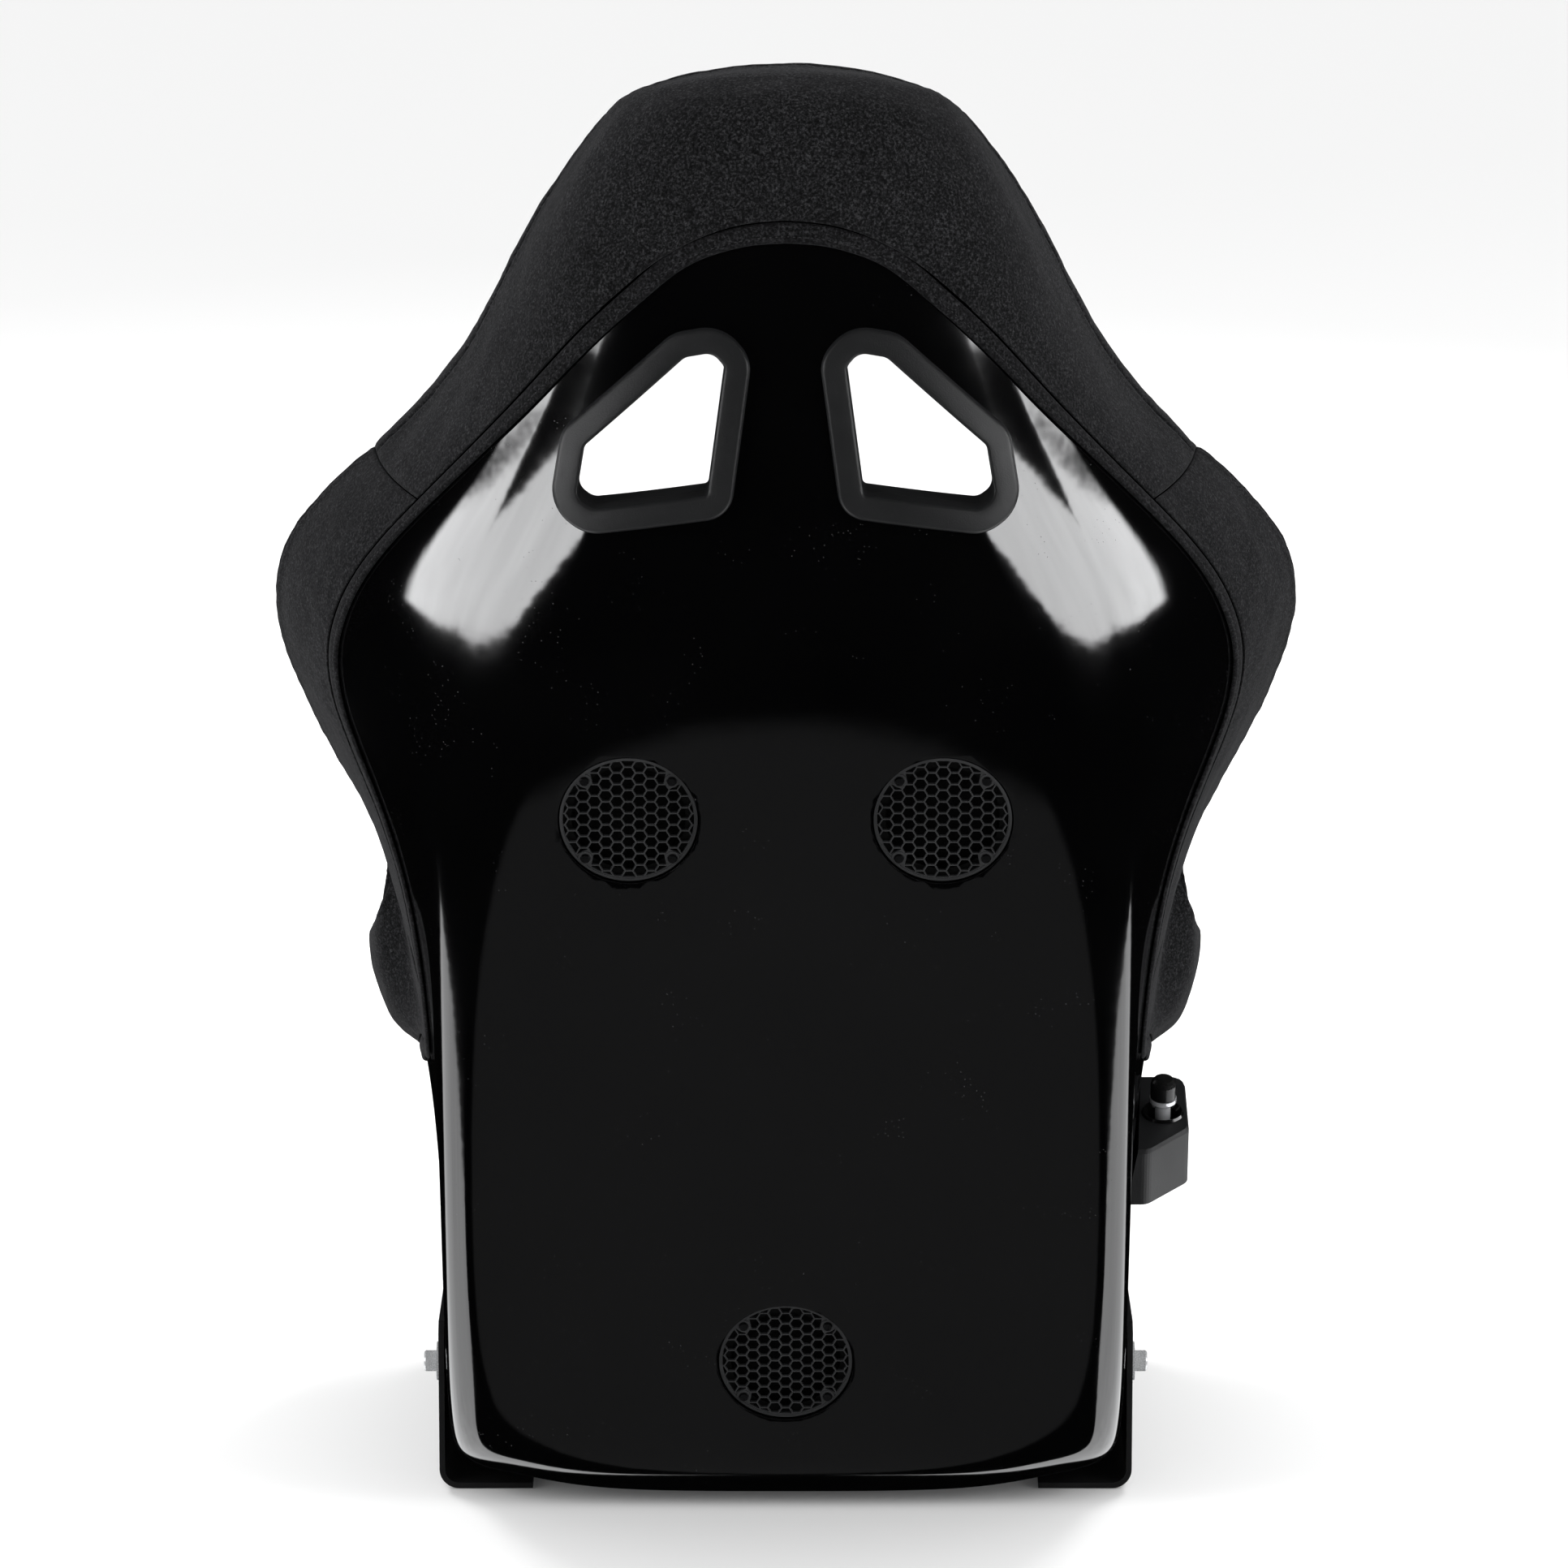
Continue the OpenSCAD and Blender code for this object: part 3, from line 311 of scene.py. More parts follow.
M["thread"] = plastic("stitch_thread", (0.022, 0.022, 0.0235), 0.75, 2500, 0.5)
M["bezel"] = plastic("bezel_plastic", (0.0095, 0.0098, 0.0104), 0.42, 1100, 0.75, 1.5, dust=0.05)
M["grille"] = plastic("grille_plastic", (0.026, 0.0265, 0.0275), 0.34, 1600, 0.2)
# near-black material for the pad faces inside the vent pockets: painted shade standing in for the shadow in the
# pocket, not a separate lining
M["void"] = plastic("pocket_painted_shade", (0.0010, 0.0010, 0.0011), 0.9, 900, 0.2, 1.2)
M["cup"] = plastic("cup_plastic", (0.0015, 0.0015, 0.0015), 0.8, 900, 0.2, 1.25)
M["screw"] = metal("black_screw", (0.05, 0.05, 0.052), 0.35)
M["bracket"] = plastic("bracket_powder_coat", (0.010, 0.010, 0.0105), 0.34, 700, 0.3, 1.5)
M["zinc"] = metal("zinc_plate", (0.60, 0.61, 0.62), 0.26, True, 0.35)
M["insert"] = metal("plain_steel", (0.45, 0.44, 0.42), 0.4)
M["housing"] = plastic("housing_plastic", (0.012, 0.0124, 0.0132), 0.5, 1100, 0.6, 1.5, dust=0.05)
M["collar"] = plastic("collar_gloss", (0.004, 0.004, 0.004), 0.1, 900, 0.02, 1.5)
M["chrome"] = metal("chrome", (0.62, 0.63, 0.65), 0.06, False, 0.5)
M["knob"] = plastic("knob_plastic", (0.005, 0.005, 0.005), 0.25, 900, 0.05, 1.5)
M["spring"] = metal("spring_wire", (0.5, 0.5, 0.52), 0.3)
def paint(o, m):
    if o.data.materials:
        for i in range(len(o.data.materials)): o.data.materials[i] = m
    else: o.data.materials.append(m)

# ---------------------------------------------------------------- shell
def uspace(n):
    a = np.concatenate([np.linspace(0, 2, n//4, endpoint=False), np.linspace(2, 4.6, n//3, endpoint=False), np.linspace(4.6, 7, n//4)])
    return np.concatenate([-a[:0:-1], a])
def shell():
    us = uspace(96); vs = np.concatenate([np.linspace(0, 4, 24, endpoint=False), np.linspace(4, 6.6, 44, endpoint=False), np.linspace(6.6, 9, 22, endpoint=False), np.linspace(9, 17, 110, endpoint=False), np.linspace(17, 19, 36)])
    U, Vv = np.meshgrid(us, vs)
    A = to_m(O(U, Vv, np.zeros_like(U))).reshape(-1, 3); B = to_m(O(U, Vv, np.full_like(U, -SW))).reshape(-1, 3)
    n, m = U.shape; q = n*m
    F = grid_faces(n, m, 0, False)+grid_faces(n, m, q, True)
    t = lambda i, j: i*m+j
    for i in range(n-1):
        F.append((t(i, 0), t(i+1, 0), q+t(i+1, 0), q+t(i, 0))); F.append((t(i, m-1), q+t(i, m-1), q+t(i+1, m-1), t(i+1, m-1)))
    for j in range(m-1):
        F.append((t(0, j), q+t(0, j), q+t(0, j+1), t(0, j+1))); F.append((t(n-1, j), t(n-1, j+1), q+t(n-1, j+1), q+t(n-1, j)))
    o = fix_normals(mesh_from("shell_gelcoat", np.concatenate([A, B]), F))
    return o
SLOT = np.array([[58, 742], [42, 745], [35, 737], [45, 663], [112, 653], [121, 659], [116, 689]], float)
SR = [9, 9, 6, 3, 9, 8, 6]
def loop(off, k=8):
    out = []; n = len(SLOT)
    for i in range(n):
        p = SLOT[i]; a = SLOT[i-1]; b = SLOT[(i+1) % n]; ua = unit(a-p); ub = unit(b-p); half = math.acos(ua@ub)/2; r = SR[i]
        c = p+unit(ua+ub)*(r/math.sin(half)); w = c-p; na = -unit(w-ua*(w@ua)); nb = -unit(w-ub*(w@ub))
        for f in np.linspace(0, 1, k):
            out.append(c+unit(na*(1-f)+nb*f)*(r+off))
        # straight run to the next corner gets extra points
        q = SLOT[(i+1) % n]; e = unit(q-p)
    P = np.array(out); Q = []
    for i in range(len(P)):
        a, b = P[i], P[(i+1) % len(P)]; d = np.linalg.norm(b-a); s = max(1, int(d//4))
        for j in range(s): Q.append(a+(b-a)*j/s)
    return np.array(Q)
def inv(X, Z):
    u = np.full(len(X), 1.2); v = np.full(len(X), 13.0)
    for _ in range(8):
        p = ev(u, v)[0]; a = (ev(u+.04, v)[0]-p)/.04; b = (ev(u, v+.04)[0]-p)/.04
        dx = X-p[:, 0]; dz = Z-p[:, 2]; det = a[:, 0]*b[:, 2]-b[:, 0]*a[:, 2]
        u = np.maximum(.02, u+(dx*b[:, 2]-dz*b[:, 0])/det); v = v+(a[:, 0]*dz-a[:, 2]*dx)/det
    return u, v
def yat(P2):
    u, v = inv(P2[:, 0], P2[:, 1]); return ev(u, v)[0][:, 1]
def prism(off, s, y0, y1):
    P2 = loop(off); n = len(P2); V = []
    for y in (y0, y1):
        for p in P2: V.append((s*p[0], y, p[1]))
    F = [tuple(range(n)), tuple(range(2*n-1, n-1, -1))]+[(i, (i+1) % n, n+(i+1) % n, n+i) for i in range(n)]
    return fix_normals(mesh_from("cut", to_m(np.array(V)), F, False))
def cyl(name, r, h, n=96, z0=0.0):
    bm = bmesh.new(); bmesh.ops.create_cone(bm, cap_ends=True, segments=n, radius1=r, radius2=r, depth=h); bmesh.ops.translate(bm, verts=bm.verts, vec=(0, 0, z0+h/2))
    me = bpy.data.meshes.new(name); bm.to_mesh(me); bm.free(); o = bpy.data.objects.new(name, me); bpy.context.scene.collection.objects.link(o); return o
def vent_matrix(s):
    loc, a = ((0, 60.4, 103), 17.0) if s == 0 else ((92*s, 168, 464), 15.5)
    return Matrix.Translation((loc[0]/1000, (loc[1]+YS)/1000, loc[2]/1000)) @ Matrix.Rotation(math.radians(-90-a), 4, 'X')
def xform(o, Mx): o.data.transform(Mx); o.data.update(); return o
BOLTS = [(-42, 75), (-300, 112)]
sh = shell()
for s in (-1, 0, 1): boolean(sh, xform(cyl("c", .0414, .03, 128, -.015), vent_matrix(s)))
for s in (-1, 1):
    boolean(sh, prism(3.4, s, 120, 230))
    for y, z in BOLTS:
        boolean(sh, xform(cyl("c", .0056, .04, 40, -.02), Matrix.Translation((s*.205, (y+YS)/1000, z/1000)) @ Matrix.Rotation(math.radians(90), 4, 'Y')))
bv = sh.modifiers.new("edge", 'BEVEL'); bv.width = .0005; bv.segments = 2; bv.limit_method = 'ANGLE'; bv.angle_limit = math.radians(50)
apply_mods(sh); shade(sh, 40)
paint(sh, M["gelcoat"]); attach(sh, "seat"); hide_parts("shell")

# ---------------------------------------------------------------- padded covers round the rim
def fine(P, k=8):
    """open smooth line through P, k points to a span, with its running length"""
    P = np.asarray(P); m = len(P); E = np.concatenate([[2*P[0]-P[1]], P, [2*P[-1]-P[-2]]]); T = np.linspace(0, m-1, k*(m-1)+1); i = np.minimum(np.floor(T).astype(int), m-2); f = (T-i)[:, None]
    p0, p1, p2, p3 = E[i], E[i+1], E[i+2], E[i+3]
    Q = p1+.5*f*((p2-p0)+f*((2*p0-5*p1+4*p2-p3)+f*(3*p1-p0-3*p2+p3)))
    s = np.concatenate([[0], np.cumsum(np.linalg.norm(np.diff(Q, axis=0), axis=1))]); return Q, s
def grid_normals(G, wrap_cols=True):
    a = np.roll(G, -1, 1)-np.roll(G, 1, 1); b = np.gradient(G, axis=0); n = np.cross(b, a); l = np.linalg.norm(n, axis=-1, keepdims=True); return n/np.maximum(l, 1e-9)
SEAM = 15.0
def cover(name, node, ta, tb, nr, seed=0, nv=104, seam=SEAM):
    m = 8; ts = ta+(tb-ta)*np.linspace(0, 1, nr)
    e = 0.36; extra = np.array([0.02, 0.05, 0.09, 0.14, 0.2, 0.28])
    ts = np.unique(np.concatenate([ts[(ts > ta+e) & (ts < tb-e)], [ta, tb], ta+extra, tb-extra, np.linspace(ta+e, tb-e, 3)]))
    ts = ts[np.concatenate([[True], np.diff(ts) > 0.008])]; ts[-1] = tb
    R = []; S = []; SS = []; SE = []
    for t in ts:
        d = min(t-ta, tb-t); q = 0.84+0.16*(1-math.exp(-(d/0.07)))
        if d < 0.012: q = 0.78
        a, b, c, dd, f = sect(t, q); L, s = fine(np.concatenate([c, dd, f])); st = s[(len(c)+3)*8]; ss = st+seam*(0.6+0.4*q)
        w = 1/3.6+np.exp(-((s-ss)/4.5)**2)/1.1+np.exp(-((s[-1]-s)/5)**2)/1.5+np.exp(-(s/6)**2)/2.5
        cw = np.concatenate([[0], np.cumsum((w[1:]+w[:-1])/2*np.diff(s))]); g = np.linspace(0, cw[-1], nv)
        P = np.stack([np.interp(g, cw, L[:, i]) for i in range(3)], 1); sv = np.interp(g, cw, s)
        H, hs = fine(np.concatenate([a, b]), 2)
        R.append(np.concatenate([P, H])); S.append(np.concatenate([sv, np.full(len(H), -1.)])); SS.append(ss); SE.append(s[-1])
    G = np.array(R); S = np.array(S); SS = np.array(SS)[:, None]; SE = np.array(SE)[:, None]; T = ts[:, None]
    if node == "head_cover":
        # round the two top corners of the outline: smooth the fabric along the rim, leave the pocket
        t2 = np.minimum(ts, 38-ts); wt = np.exp(-((t2-17.0)/0.75)**4)[:, None, None]; X = G[:, :nv].copy()
        al = np.concatenate([[0], np.cumsum(np.linalg.norm(np.diff(G[:, nv//2], axis=0), axis=1))]); K = np.exp(-((al[:, None]-al[None])/22.0)**2); K /= K.sum(1, keepdims=True)
        Xs = np.einsum('ij,jkl->ikl', K, X); end = np.clip(np.minimum(al, al[-1]-al)/60, 0, 1)[:, None, None]; G[:, :nv] = X+(Xs-X)*wt*end
    N = grid_normals(G); mid = G[:, :nv].mean(1, keepdims=True)
    if ((G[:, nv//2]-G[:, -4])*N[:, nv//2]).sum() < 0: N = -N
    d = S-SS; flat = G.reshape(-1, 3)
    n1 = noise3(flat, 95, 2, seed).reshape(S.shape); n2 = noise3(flat, 26, 2, seed+3).reshape(S.shape); n3 = noise3(flat, 9, 1, seed+5).reshape(S.shape)
    arc = np.concatenate([[0], np.cumsum(np.linalg.norm(np.diff(G[:, nv//2], axis=0), axis=1))])[:, None]
    puck = np.sin(arc*2*np.pi/11+2.5*n1)*np.exp(-np.abs(d)/5.5)*(np.abs(d) > 1.0)
    roll = np.exp(-((SE-S)/7)**2); pk2 = np.sin(arc*2*np.pi/13+3*n2)*roll
    h = -1.25*np.exp(-(d/1.25)**2)+0.45*np.exp(-((np.abs(d)-4.5)/2.6)**2)+0.22*puck+0.8*n1+0.28*n2+0.07*n3+0.18*pk2
    fade = np.clip((SE-S)/3, 0, 1)*np.clip(S/6, 0, 1)*(S >= 0)
    endd = np.minimum(T-ts[0], ts[-1]-T); fade = fade*np.clip(endd/0.04, 0, 1)
    G = G+N*(h*fade)[..., None]
    n, mm = S.shape; F = grid_faces(n, mm, 0, False, wrap=True)
    for o, rv in ((0, True), ((n-1)*mm, False)):
        idx = list(range(o, o+mm)); F.append(tuple(idx[::-1] if rv else idx))
    ob = mesh_from(name, to_m(G.reshape(-1, 3)), F); bm = bmesh.new(); bm.from_mesh(ob.data)
    caps = [f for f in bm.faces if len(f.verts) > 8]; bmesh.ops.triangulate(bm, faces=caps); bmesh.ops.recalc_face_normals(bm, faces=bm.faces); bm.to_mesh(ob.data); bm.free()
    paint(ob, M["cover"]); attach(ob, "seat"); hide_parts(node)
    # seam line on the finished surface, for the stitches
    i = np.argmin(np.abs(S[:, :nv]-SS), 1); seam = G[np.arange(n), i]; nn = N[np.arange(n), i]; side = unit(G[np.arange(n), np.minimum(i+3, nv-1)]-G[np.arange(n), np.maximum(i-3, 0)])
    return ob, seam, nn, side
def stitches(name, P, Nn, side, offs, pitch=3.6, ln=2.5, r=0.32, lift=0.05, mat_="thread"):
    s = np.concatenate([[0], np.cumsum(np.linalg.norm(np.diff(P, axis=0), axis=1))]); V = []; F = []
    for off in offs:
        for k in range(int((s[-1]-8)//pitch)):
            a = 4+k*pitch; x = np.array([a, a+ln*.5, a+ln]); Q = np.stack([np.interp(x, s, P[:, j]) for j in range(3)], 1); n = unit(np.stack([np.interp(x, s, Nn[:, j]) for j in range(3)], 1)); w = unit(np.stack([np.interp(x, s, side[:, j]) for j in range(3)], 1))
            Q = Q+w*off; b0 = len(V); rr = [0.25, 1, 0.25]; hh = [lift-.2, lift+.15, lift-.2]
            for j in range(3):
                for q in range(5):
                    an = 2*math.pi*q/5; V.append(Q[j]+n[j]*(hh[j]+r*rr[j]*math.sin(an))+w[j]*(r*rr[j]*math.cos(an)))
            for j in range(2):
                for q in range(5): F.append((b0+j*5+q, b0+j*5+(q+1) % 5, b0+(j+1)*5+(q+1) % 5, b0+(j+1)*5+q))
            F.append(tuple(b0+q for q in range(4, -1, -1))); F.append(tuple(b0+10+q for q in range(5)))
    o = fix_normals(mesh_from(name, to_m(np.array(V)), F)); paint(o, M[mat_]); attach(o, "seat"); return o
COV = [("padded_cover_head", "head_cover", 12.232, 25.768, 250, 1), ("padded_cover_wing_left", "wing_cover_left", 7.462, 12.218, 110, 2), ("padded_cover_hip_left", "hip_cover_left", 2.034, 7.438, 120, 4),
       ("padded_cover_wing_right", "wing_cover_right", 25.782, 30.538, 110, 6), ("padded_cover_hip_right", "hip_cover_right", 30.562, 35.966, 120, 8), ("padded_cover_front", "front_cover", -2.016, 2.016, 130, 10)]
for nm, nd, ta, tb, nr, sd in COV:
    ob, sm, nn, side = cover(nm, nd, ta, tb, nr, sd, seam=26.0 if nd == "head_cover" else SEAM)
    stitches("stitches_"+nd, sm, nn, side, (-2.6, 2.6))

# binding strip between the covers and the shell
def binding():
    ts = []; t = 0.0
    while t < 38: tt = t if t <= 19 else 38-t; ts.append(t); t += 0.025 if 1.0 < tt < 2.3 else 0.05
    prof = [(1, .7), (.5, .7), (0, .7), (-.02, 1.3), (0.03, 2.2), (.1, 2.75), (.22, 2.95), (.3, 2.7), (.38, 2.95), (.6, 3.15), (.82, 3.1), (.92, 2.7), (.985, 2.2), (1.02, 1.4)]
    R = []; ed = []; nn = []; sd = []
    for t in ts:
        k = key(t); f = wd(k, BW); T = np.array([p[0] for p in prof])*f; D = np.array([p[1] for p in prof]); R.append(po(k, T, D)); q = po(k, np.array([.3*f, .4*f, .3*f]), np.array([2.7, 2.7, 3.7])); ed.append(q[0]); nn.append(unit(q[2]-q[0])); sd.append(unit(q[1]-q[0]))
    G = np.array(R); P = np.array(ed); nz = noise3(G.reshape(-1, 3), 40, 2, 12).reshape(G.shape[:2]); N = grid_normals(G)
    c = G.mean(1, keepdims=True); N = N*np.sign(((G-c)*N).sum(-1).mean()); w = np.array([0, 0, 0, 0, .2, .6, 1, 1, 1, 1, .6, .2, 0, 0.])
    G = G+N*(0.22*nz*w)[..., None]
    o = fix_normals(mesh_from("edge_binding", to_m(G.reshape(-1, 3)), grid_faces(len(ts), len(prof), 0, False, wrap=True, close=True)))
    paint(o, M["tape"]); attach(o, "seat"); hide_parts("cover_binding")
    stitches("stitches_binding", np.concatenate([P, P[:1]]), np.array(nn+nn[:1]), np.array(sd+sd[:1]), (0.0,), 3.4, 2.3, 0.28, 0.0)
binding()

# ---------------------------------------------------------------- harness slot bezels
def ringsolid(name, prof, s, k=10):
    offs = sorted(set(p[0] for p in prof)); base = loop(0, k); V = []; cols = []
    L = {o: loop_at(o, k) for o in offs}; Y = {o: yat(L[o]) for o in offs}; n = len(base); R = []
    for o, d in prof: R.append(np.stack([L[o][:, 0]*s, Y[o]+d, L[o][:, 1]], 1))
    G = np.array(R).transpose(1, 0, 2); n = len(G)
    return fix_normals(mesh_from(name, to_m(G.reshape(-1, 3)), grid_faces(n, len(prof), 0, False, wrap=True, close=True)))
def loop_at(off, k):
    """same number of points at every offset"""
    out = []; n = len(SLOT); arcs = []
    for i in range(n):
        p = SLOT[i]; a = SLOT[i-1]; b = SLOT[(i+1) % n]; ua = unit(a-p); ub = unit(b-p); half = math.acos(ua@ub)/2; r = SR[i]; c = p+unit(ua+ub)*(r/math.sin(half)); w = c-p; na = -unit(w-ua*(w@ua)); nb = -unit(w-ub*(w@ub))
        arcs.append([c+unit(na*(1-f)+nb*f)*(r+off) for f in np.linspace(0, 1, k)])
    for i in range(n):
        out += arcs[i]; a = arcs[i][-1]; b = arcs[(i+1) % n][0]; m = max(2, int(np.linalg.norm(SLOT[(i+1) % n]-SLOT[i])//5))
        out += [a+(b-a)*j/m for j in range(1, m)]
    return np.array(out)
def arcp(cx, cy, r, a0, a1, n=5): return [(round(cx+r*math.cos(math.radians(a)), 4), round(cy+r*math.sin(math.radians(a)), 4)) for a in np.linspace(a0, a1, n)]
REAR = [(0.0, -16.0), (0.0, -8.0), (0.0, 2.2)]+arcp(2.2, 2.6, 2.2, 180, 95, 6)+[(4.5, 5.0), (8.0, 5.15), (11.0, 4.95)]+arcp(12.2, 2.7, 2.3, 85, 10, 6)+arcp(14.0, 1.4, 0.9, 60, -30, 4)+[(14.6, 0.7), (8.0, 0.7), (3.0, 0.7), (3.0, -8.0), (3.0, -16.0)]
FRONT = [(0.0, -16.4), (3.0, -16.4), (3.0, -34.0)]+[(6.0, -35.5), (10.6, -38.0)]+arcp(10.0, -39.2, 1.2, 40, -60, 5)+[(6.0, -42.6)]+arcp(2.4, -40.9, 2.4, -70, -180, 6)+[(0.0, -36.0)]
for s, sd in ((1, "left"), (-1, "right")):
    for nm, pr, nd in (("bezel_rear_", REAR, "harness_bezel_rear_"), ("bezel_front_", FRONT, "harness_bezel_front_")):
        o = ringsolid(nm+sd, pr, s); shade(o, 50); paint(o, M["bezel"]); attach(o, "seat"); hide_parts(nd+sd)

# ---------------------------------------------------------------- hard parts kept from the frame
def keep(nd, m, w=0.3, seg=2, ang=35):
    o = NODES[nd]; paint(o, M[m])
    if w > 0:
        b = o.modifiers.new("soft_edges", 'BEVEL'); b.width = w/1000; b.segments = seg; b.limit_method = 'ANGLE'; b.angle_limit = math.radians(ang); b.harden_normals = True; b.use_clamp_overlap = True
    return o
def hexgrille(name, Mx):
    """moulded grille: hexagonal mesh to a thin raised rim, four screw ears, rounded wall tops"""
    bm = bmesh.new(); bmesh.ops.create_cone(bm, cap_ends=True, segments=128, radius1=.0405, radius2=.0405, depth=.0026); bmesh.ops.translate(bm, verts=bm.verts, vec=(0, 0, .0013))
    me = bpy.data.meshes.new(name); bm.to_mesh(me); bm.free(); o = bpy.data.objects.new(name, me); bpy.context.scene.collection.objects.link(o)
    def ngon(P, z0, z1):
        n = len(P); V = [(x, y, z0) for x, y in P]+[(x, y, z1) for x, y in P]
        return V, [tuple(range(n))[::-1], tuple(range(n, 2*n))]+[(i, (i+1) % n, n+(i+1) % n, n+i) for i in range(n)]
    def clip(P, n, c):
        out = []
        for i in range(len(P)):
            a, b = P[i], P[(i+1) % len(P)]; da, db = a@n-c, b@n-c
            if da <= 0: out.append(a)
            if da*db < 0: out.append(a+(b-a)*(da/(da-db)))
        return out
    V = []; F = []
    def add(P, z0, z1):
        v, f = ngon(P, z0, z1); b0 = len(V); V.extend(v); F.extend([tuple(b0+i for i in g) for g in f])
    R = .0384; ears = [np.array([.0361*math.cos(math.radians(a)), .0361*math.sin(math.radians(a))]) for a in (45, 135, 225, 315)]
    for i in range(-7, 8):
        for j in range(-7, 8):
            c = np.array([i*.0066, j*.00762+(abs(i) % 2)*.00381]); P = [c+.00395*np.array([math.cos(math.radians(60*k)), math.sin(math.radians(60*k))]) for k in range(6)]
            for k in range(48):
                an = 2*math.pi*k/48; nn = np.array([math.cos(an), math.sin(an)])
                if P: P = clip(P, nn, R)
            for e in ears:
                if not P: break
                d = np.mean(P, 0)-e; l = np.linalg.norm(d)
                if l < .0010: P = []; break
                P = clip(P, -d/l, -(e@(d/l)+.0043))
            if len(P) < 3: continue
            P = np.array(P); keep_ = [0]
            for k in range(1, len(P)):
                if np.linalg.norm(P[k]-P[keep_[-1]]) > 2e-5: keep_.append(k)
            P = P[keep_]
            if len(P) > 2 and np.linalg.norm(P[0]-P[-1]) < 2e-5: P = P[:-1]
            if len(P) < 3: continue
            x, y = P[:, 0], P[:, 1]; ar = .5*abs(np.dot(x, np.roll(y, -1))-np.dot(y, np.roll(x, -1)))
            if ar > 2.2e-6: add(list(P), -.001, .004)
    for e in ears: add([e+.00175*np.array([math.cos(t), math.sin(t)]) for t in np.linspace(0, 2*math.pi, 24, endpoint=False)], -.001, .004)
    boolean(o, fix_normals(mesh_from("cut", V, F, False)))
    ring = cyl("c", .0391, .002, 128, .0019); ears_ = []
    for e in ears: ears_.append(xform(cyl("e", .0043, .003, 40, .0016), Matrix.Translation((e[0], e[1], 0))))
    for x in ears_: boolean(ring, x)
    boolean(o, ring); xform(o, Mx)
    b = o.modifiers.new("soft_edges", 'BEVEL'); b.width = .00028; b.segments = 3; b.limit_method = 'ANGLE'; b.angle_limit = math.radians(35); b.use_clamp_overlap = True; apply_mods(o); shade(o, 40); return o
for nm, s in (("upper_left", 1), ("upper_right", -1), ("lower", 0)):
    o = hexgrille("grille_"+nm, vent_matrix(s) @ Matrix.Translation((0, 0, -.0052))); paint(o, M["grille"]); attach(o, "seat"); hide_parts("vent_grille_"+nm)
keep("vent_cups", "cup", 0.3); keep("vent_screws", "screw", 0.15)
for s in ("left", "right"): keep("side_bracket_"+s, "bracket", 0.6, 3)
keep("bracket_bolts", "zinc", 0.25); keep("bracket_washers", "zinc", 0.3); keep("threaded_inserts", "insert", 0.2)
keep("adjuster_housing", "housing", 1.3, 4, 40); keep("adjuster_collar", "collar", 0.25); keep("adjuster_stem", "chrome", 0.2); keep("adjuster_knob", "knob", 0.3);

# ---------------------------------------------------------------- inside pads
def hwf(v, v0, v1, u0, u1): f = (v-v0)/(v1-v0); return u0+(u1-u0)*f
PADS = [("seat_base_pad", 1.78, 6.24, 4.6, 4.6, 38, 11), ("thigh_pad", 1.02, 1.68, 4.05, 4.4, 30, 22), ("lumbar_pad", 6.44, 9.05, 4.45, 4.5, 36, 33), ("back_pad", 9.1, 11.6, 4.5, 4.7, 26, 44), ("shoulder_pad", 11.65, 14.6, 4.75, 4.4, 22, 55), ("head_pad", 14.65, 16.65, 4.4, 3.0, 26, 66)]
def se(x, p): return (1-np.abs(x)**p)**(1/p)
def pad(nm, v0, v1, u0, u1, th, seed):
    nu, nv = 110, 56; sx = np.sin(np.linspace(-1, 1, nu)*math.pi/2); sy = np.sin(np.linspace(-1, 1, nv)*math.pi/2)
    X, Y = np.meshgrid(sx, sy); cx = 0.995; V_ = v0+(v1-v0)*(0.5+0.5*Y*cx); U_ = X*cx*hwf(V_, v0, v1, u0, u1)
    crown = se(np.clip(X, -1, 1), 7)*se(np.clip(Y, -1, 1), 5); th_ = th*(0.30+0.66*crown)
    A = O(U_, V_, np.full_like(U_, -SW-2.4)); B = O(U_, V_, -SW-2.4-th_)
    n, m = X.shape; q = n*m; F = grid_faces(n, m, 0, False)+grid_faces(n, m, q, True); t = lambda i, j: i*m+j
    for i in range(n-1):
        F.append((t(i, 0), t(i+1, 0), q+t(i+1, 0), q+t(i, 0))); F.append((t(i, m-1), q+t(i, m-1), q+t(i+1, m-1), t(i+1, m-1)))
    for j in range(m-1):
        F.append((t(0, j), q+t(0, j), q+t(0, j+1), t(0, j+1))); F.append((t(n-1, j), t(n-1, j+1), q+t(n-1, j+1), q+t(n-1, j)))
    o = fix_normals(mesh_from("cushion_"+nm, to_m(np.concatenate([A.reshape(-1, 3), B.reshape(-1, 3)])), F))
    return o
def to_co(o): c = np.zeros(len(o.data.vertices)*3); o.data.vertices.foreach_get("co", c); return c.reshape(-1, 3)
def set_co(o, c): o.data.vertices.foreach_set("co", c.reshape(-1)); o.data.update()
from mathutils.bvhtree import BVHTree
from mathutils.kdtree import KDTree
SURF_U, SURF_V = np.meshgrid(np.linspace(-5.2, 5.2, 160), np.linspace(0.3, 17.5, 260))
SP, SN = ev(SURF_U, SURF_V); SPm = to_m(SP).reshape(-1, 3); SNf = SN.reshape(-1, 3); KT = KDTree(len(SPm))
for i, p in enumerate(SPm): KT.insert(p, i)
KT.balance()
def depth_of(C):
    """distance of points in metres from the outer face, towards the sitter, with the outward normal there"""
    idx = np.array([KT.find(p)[1] for p in C]); n = SNf[idx]; return -((C-SPm[idx])*n).sum(1), n, idx
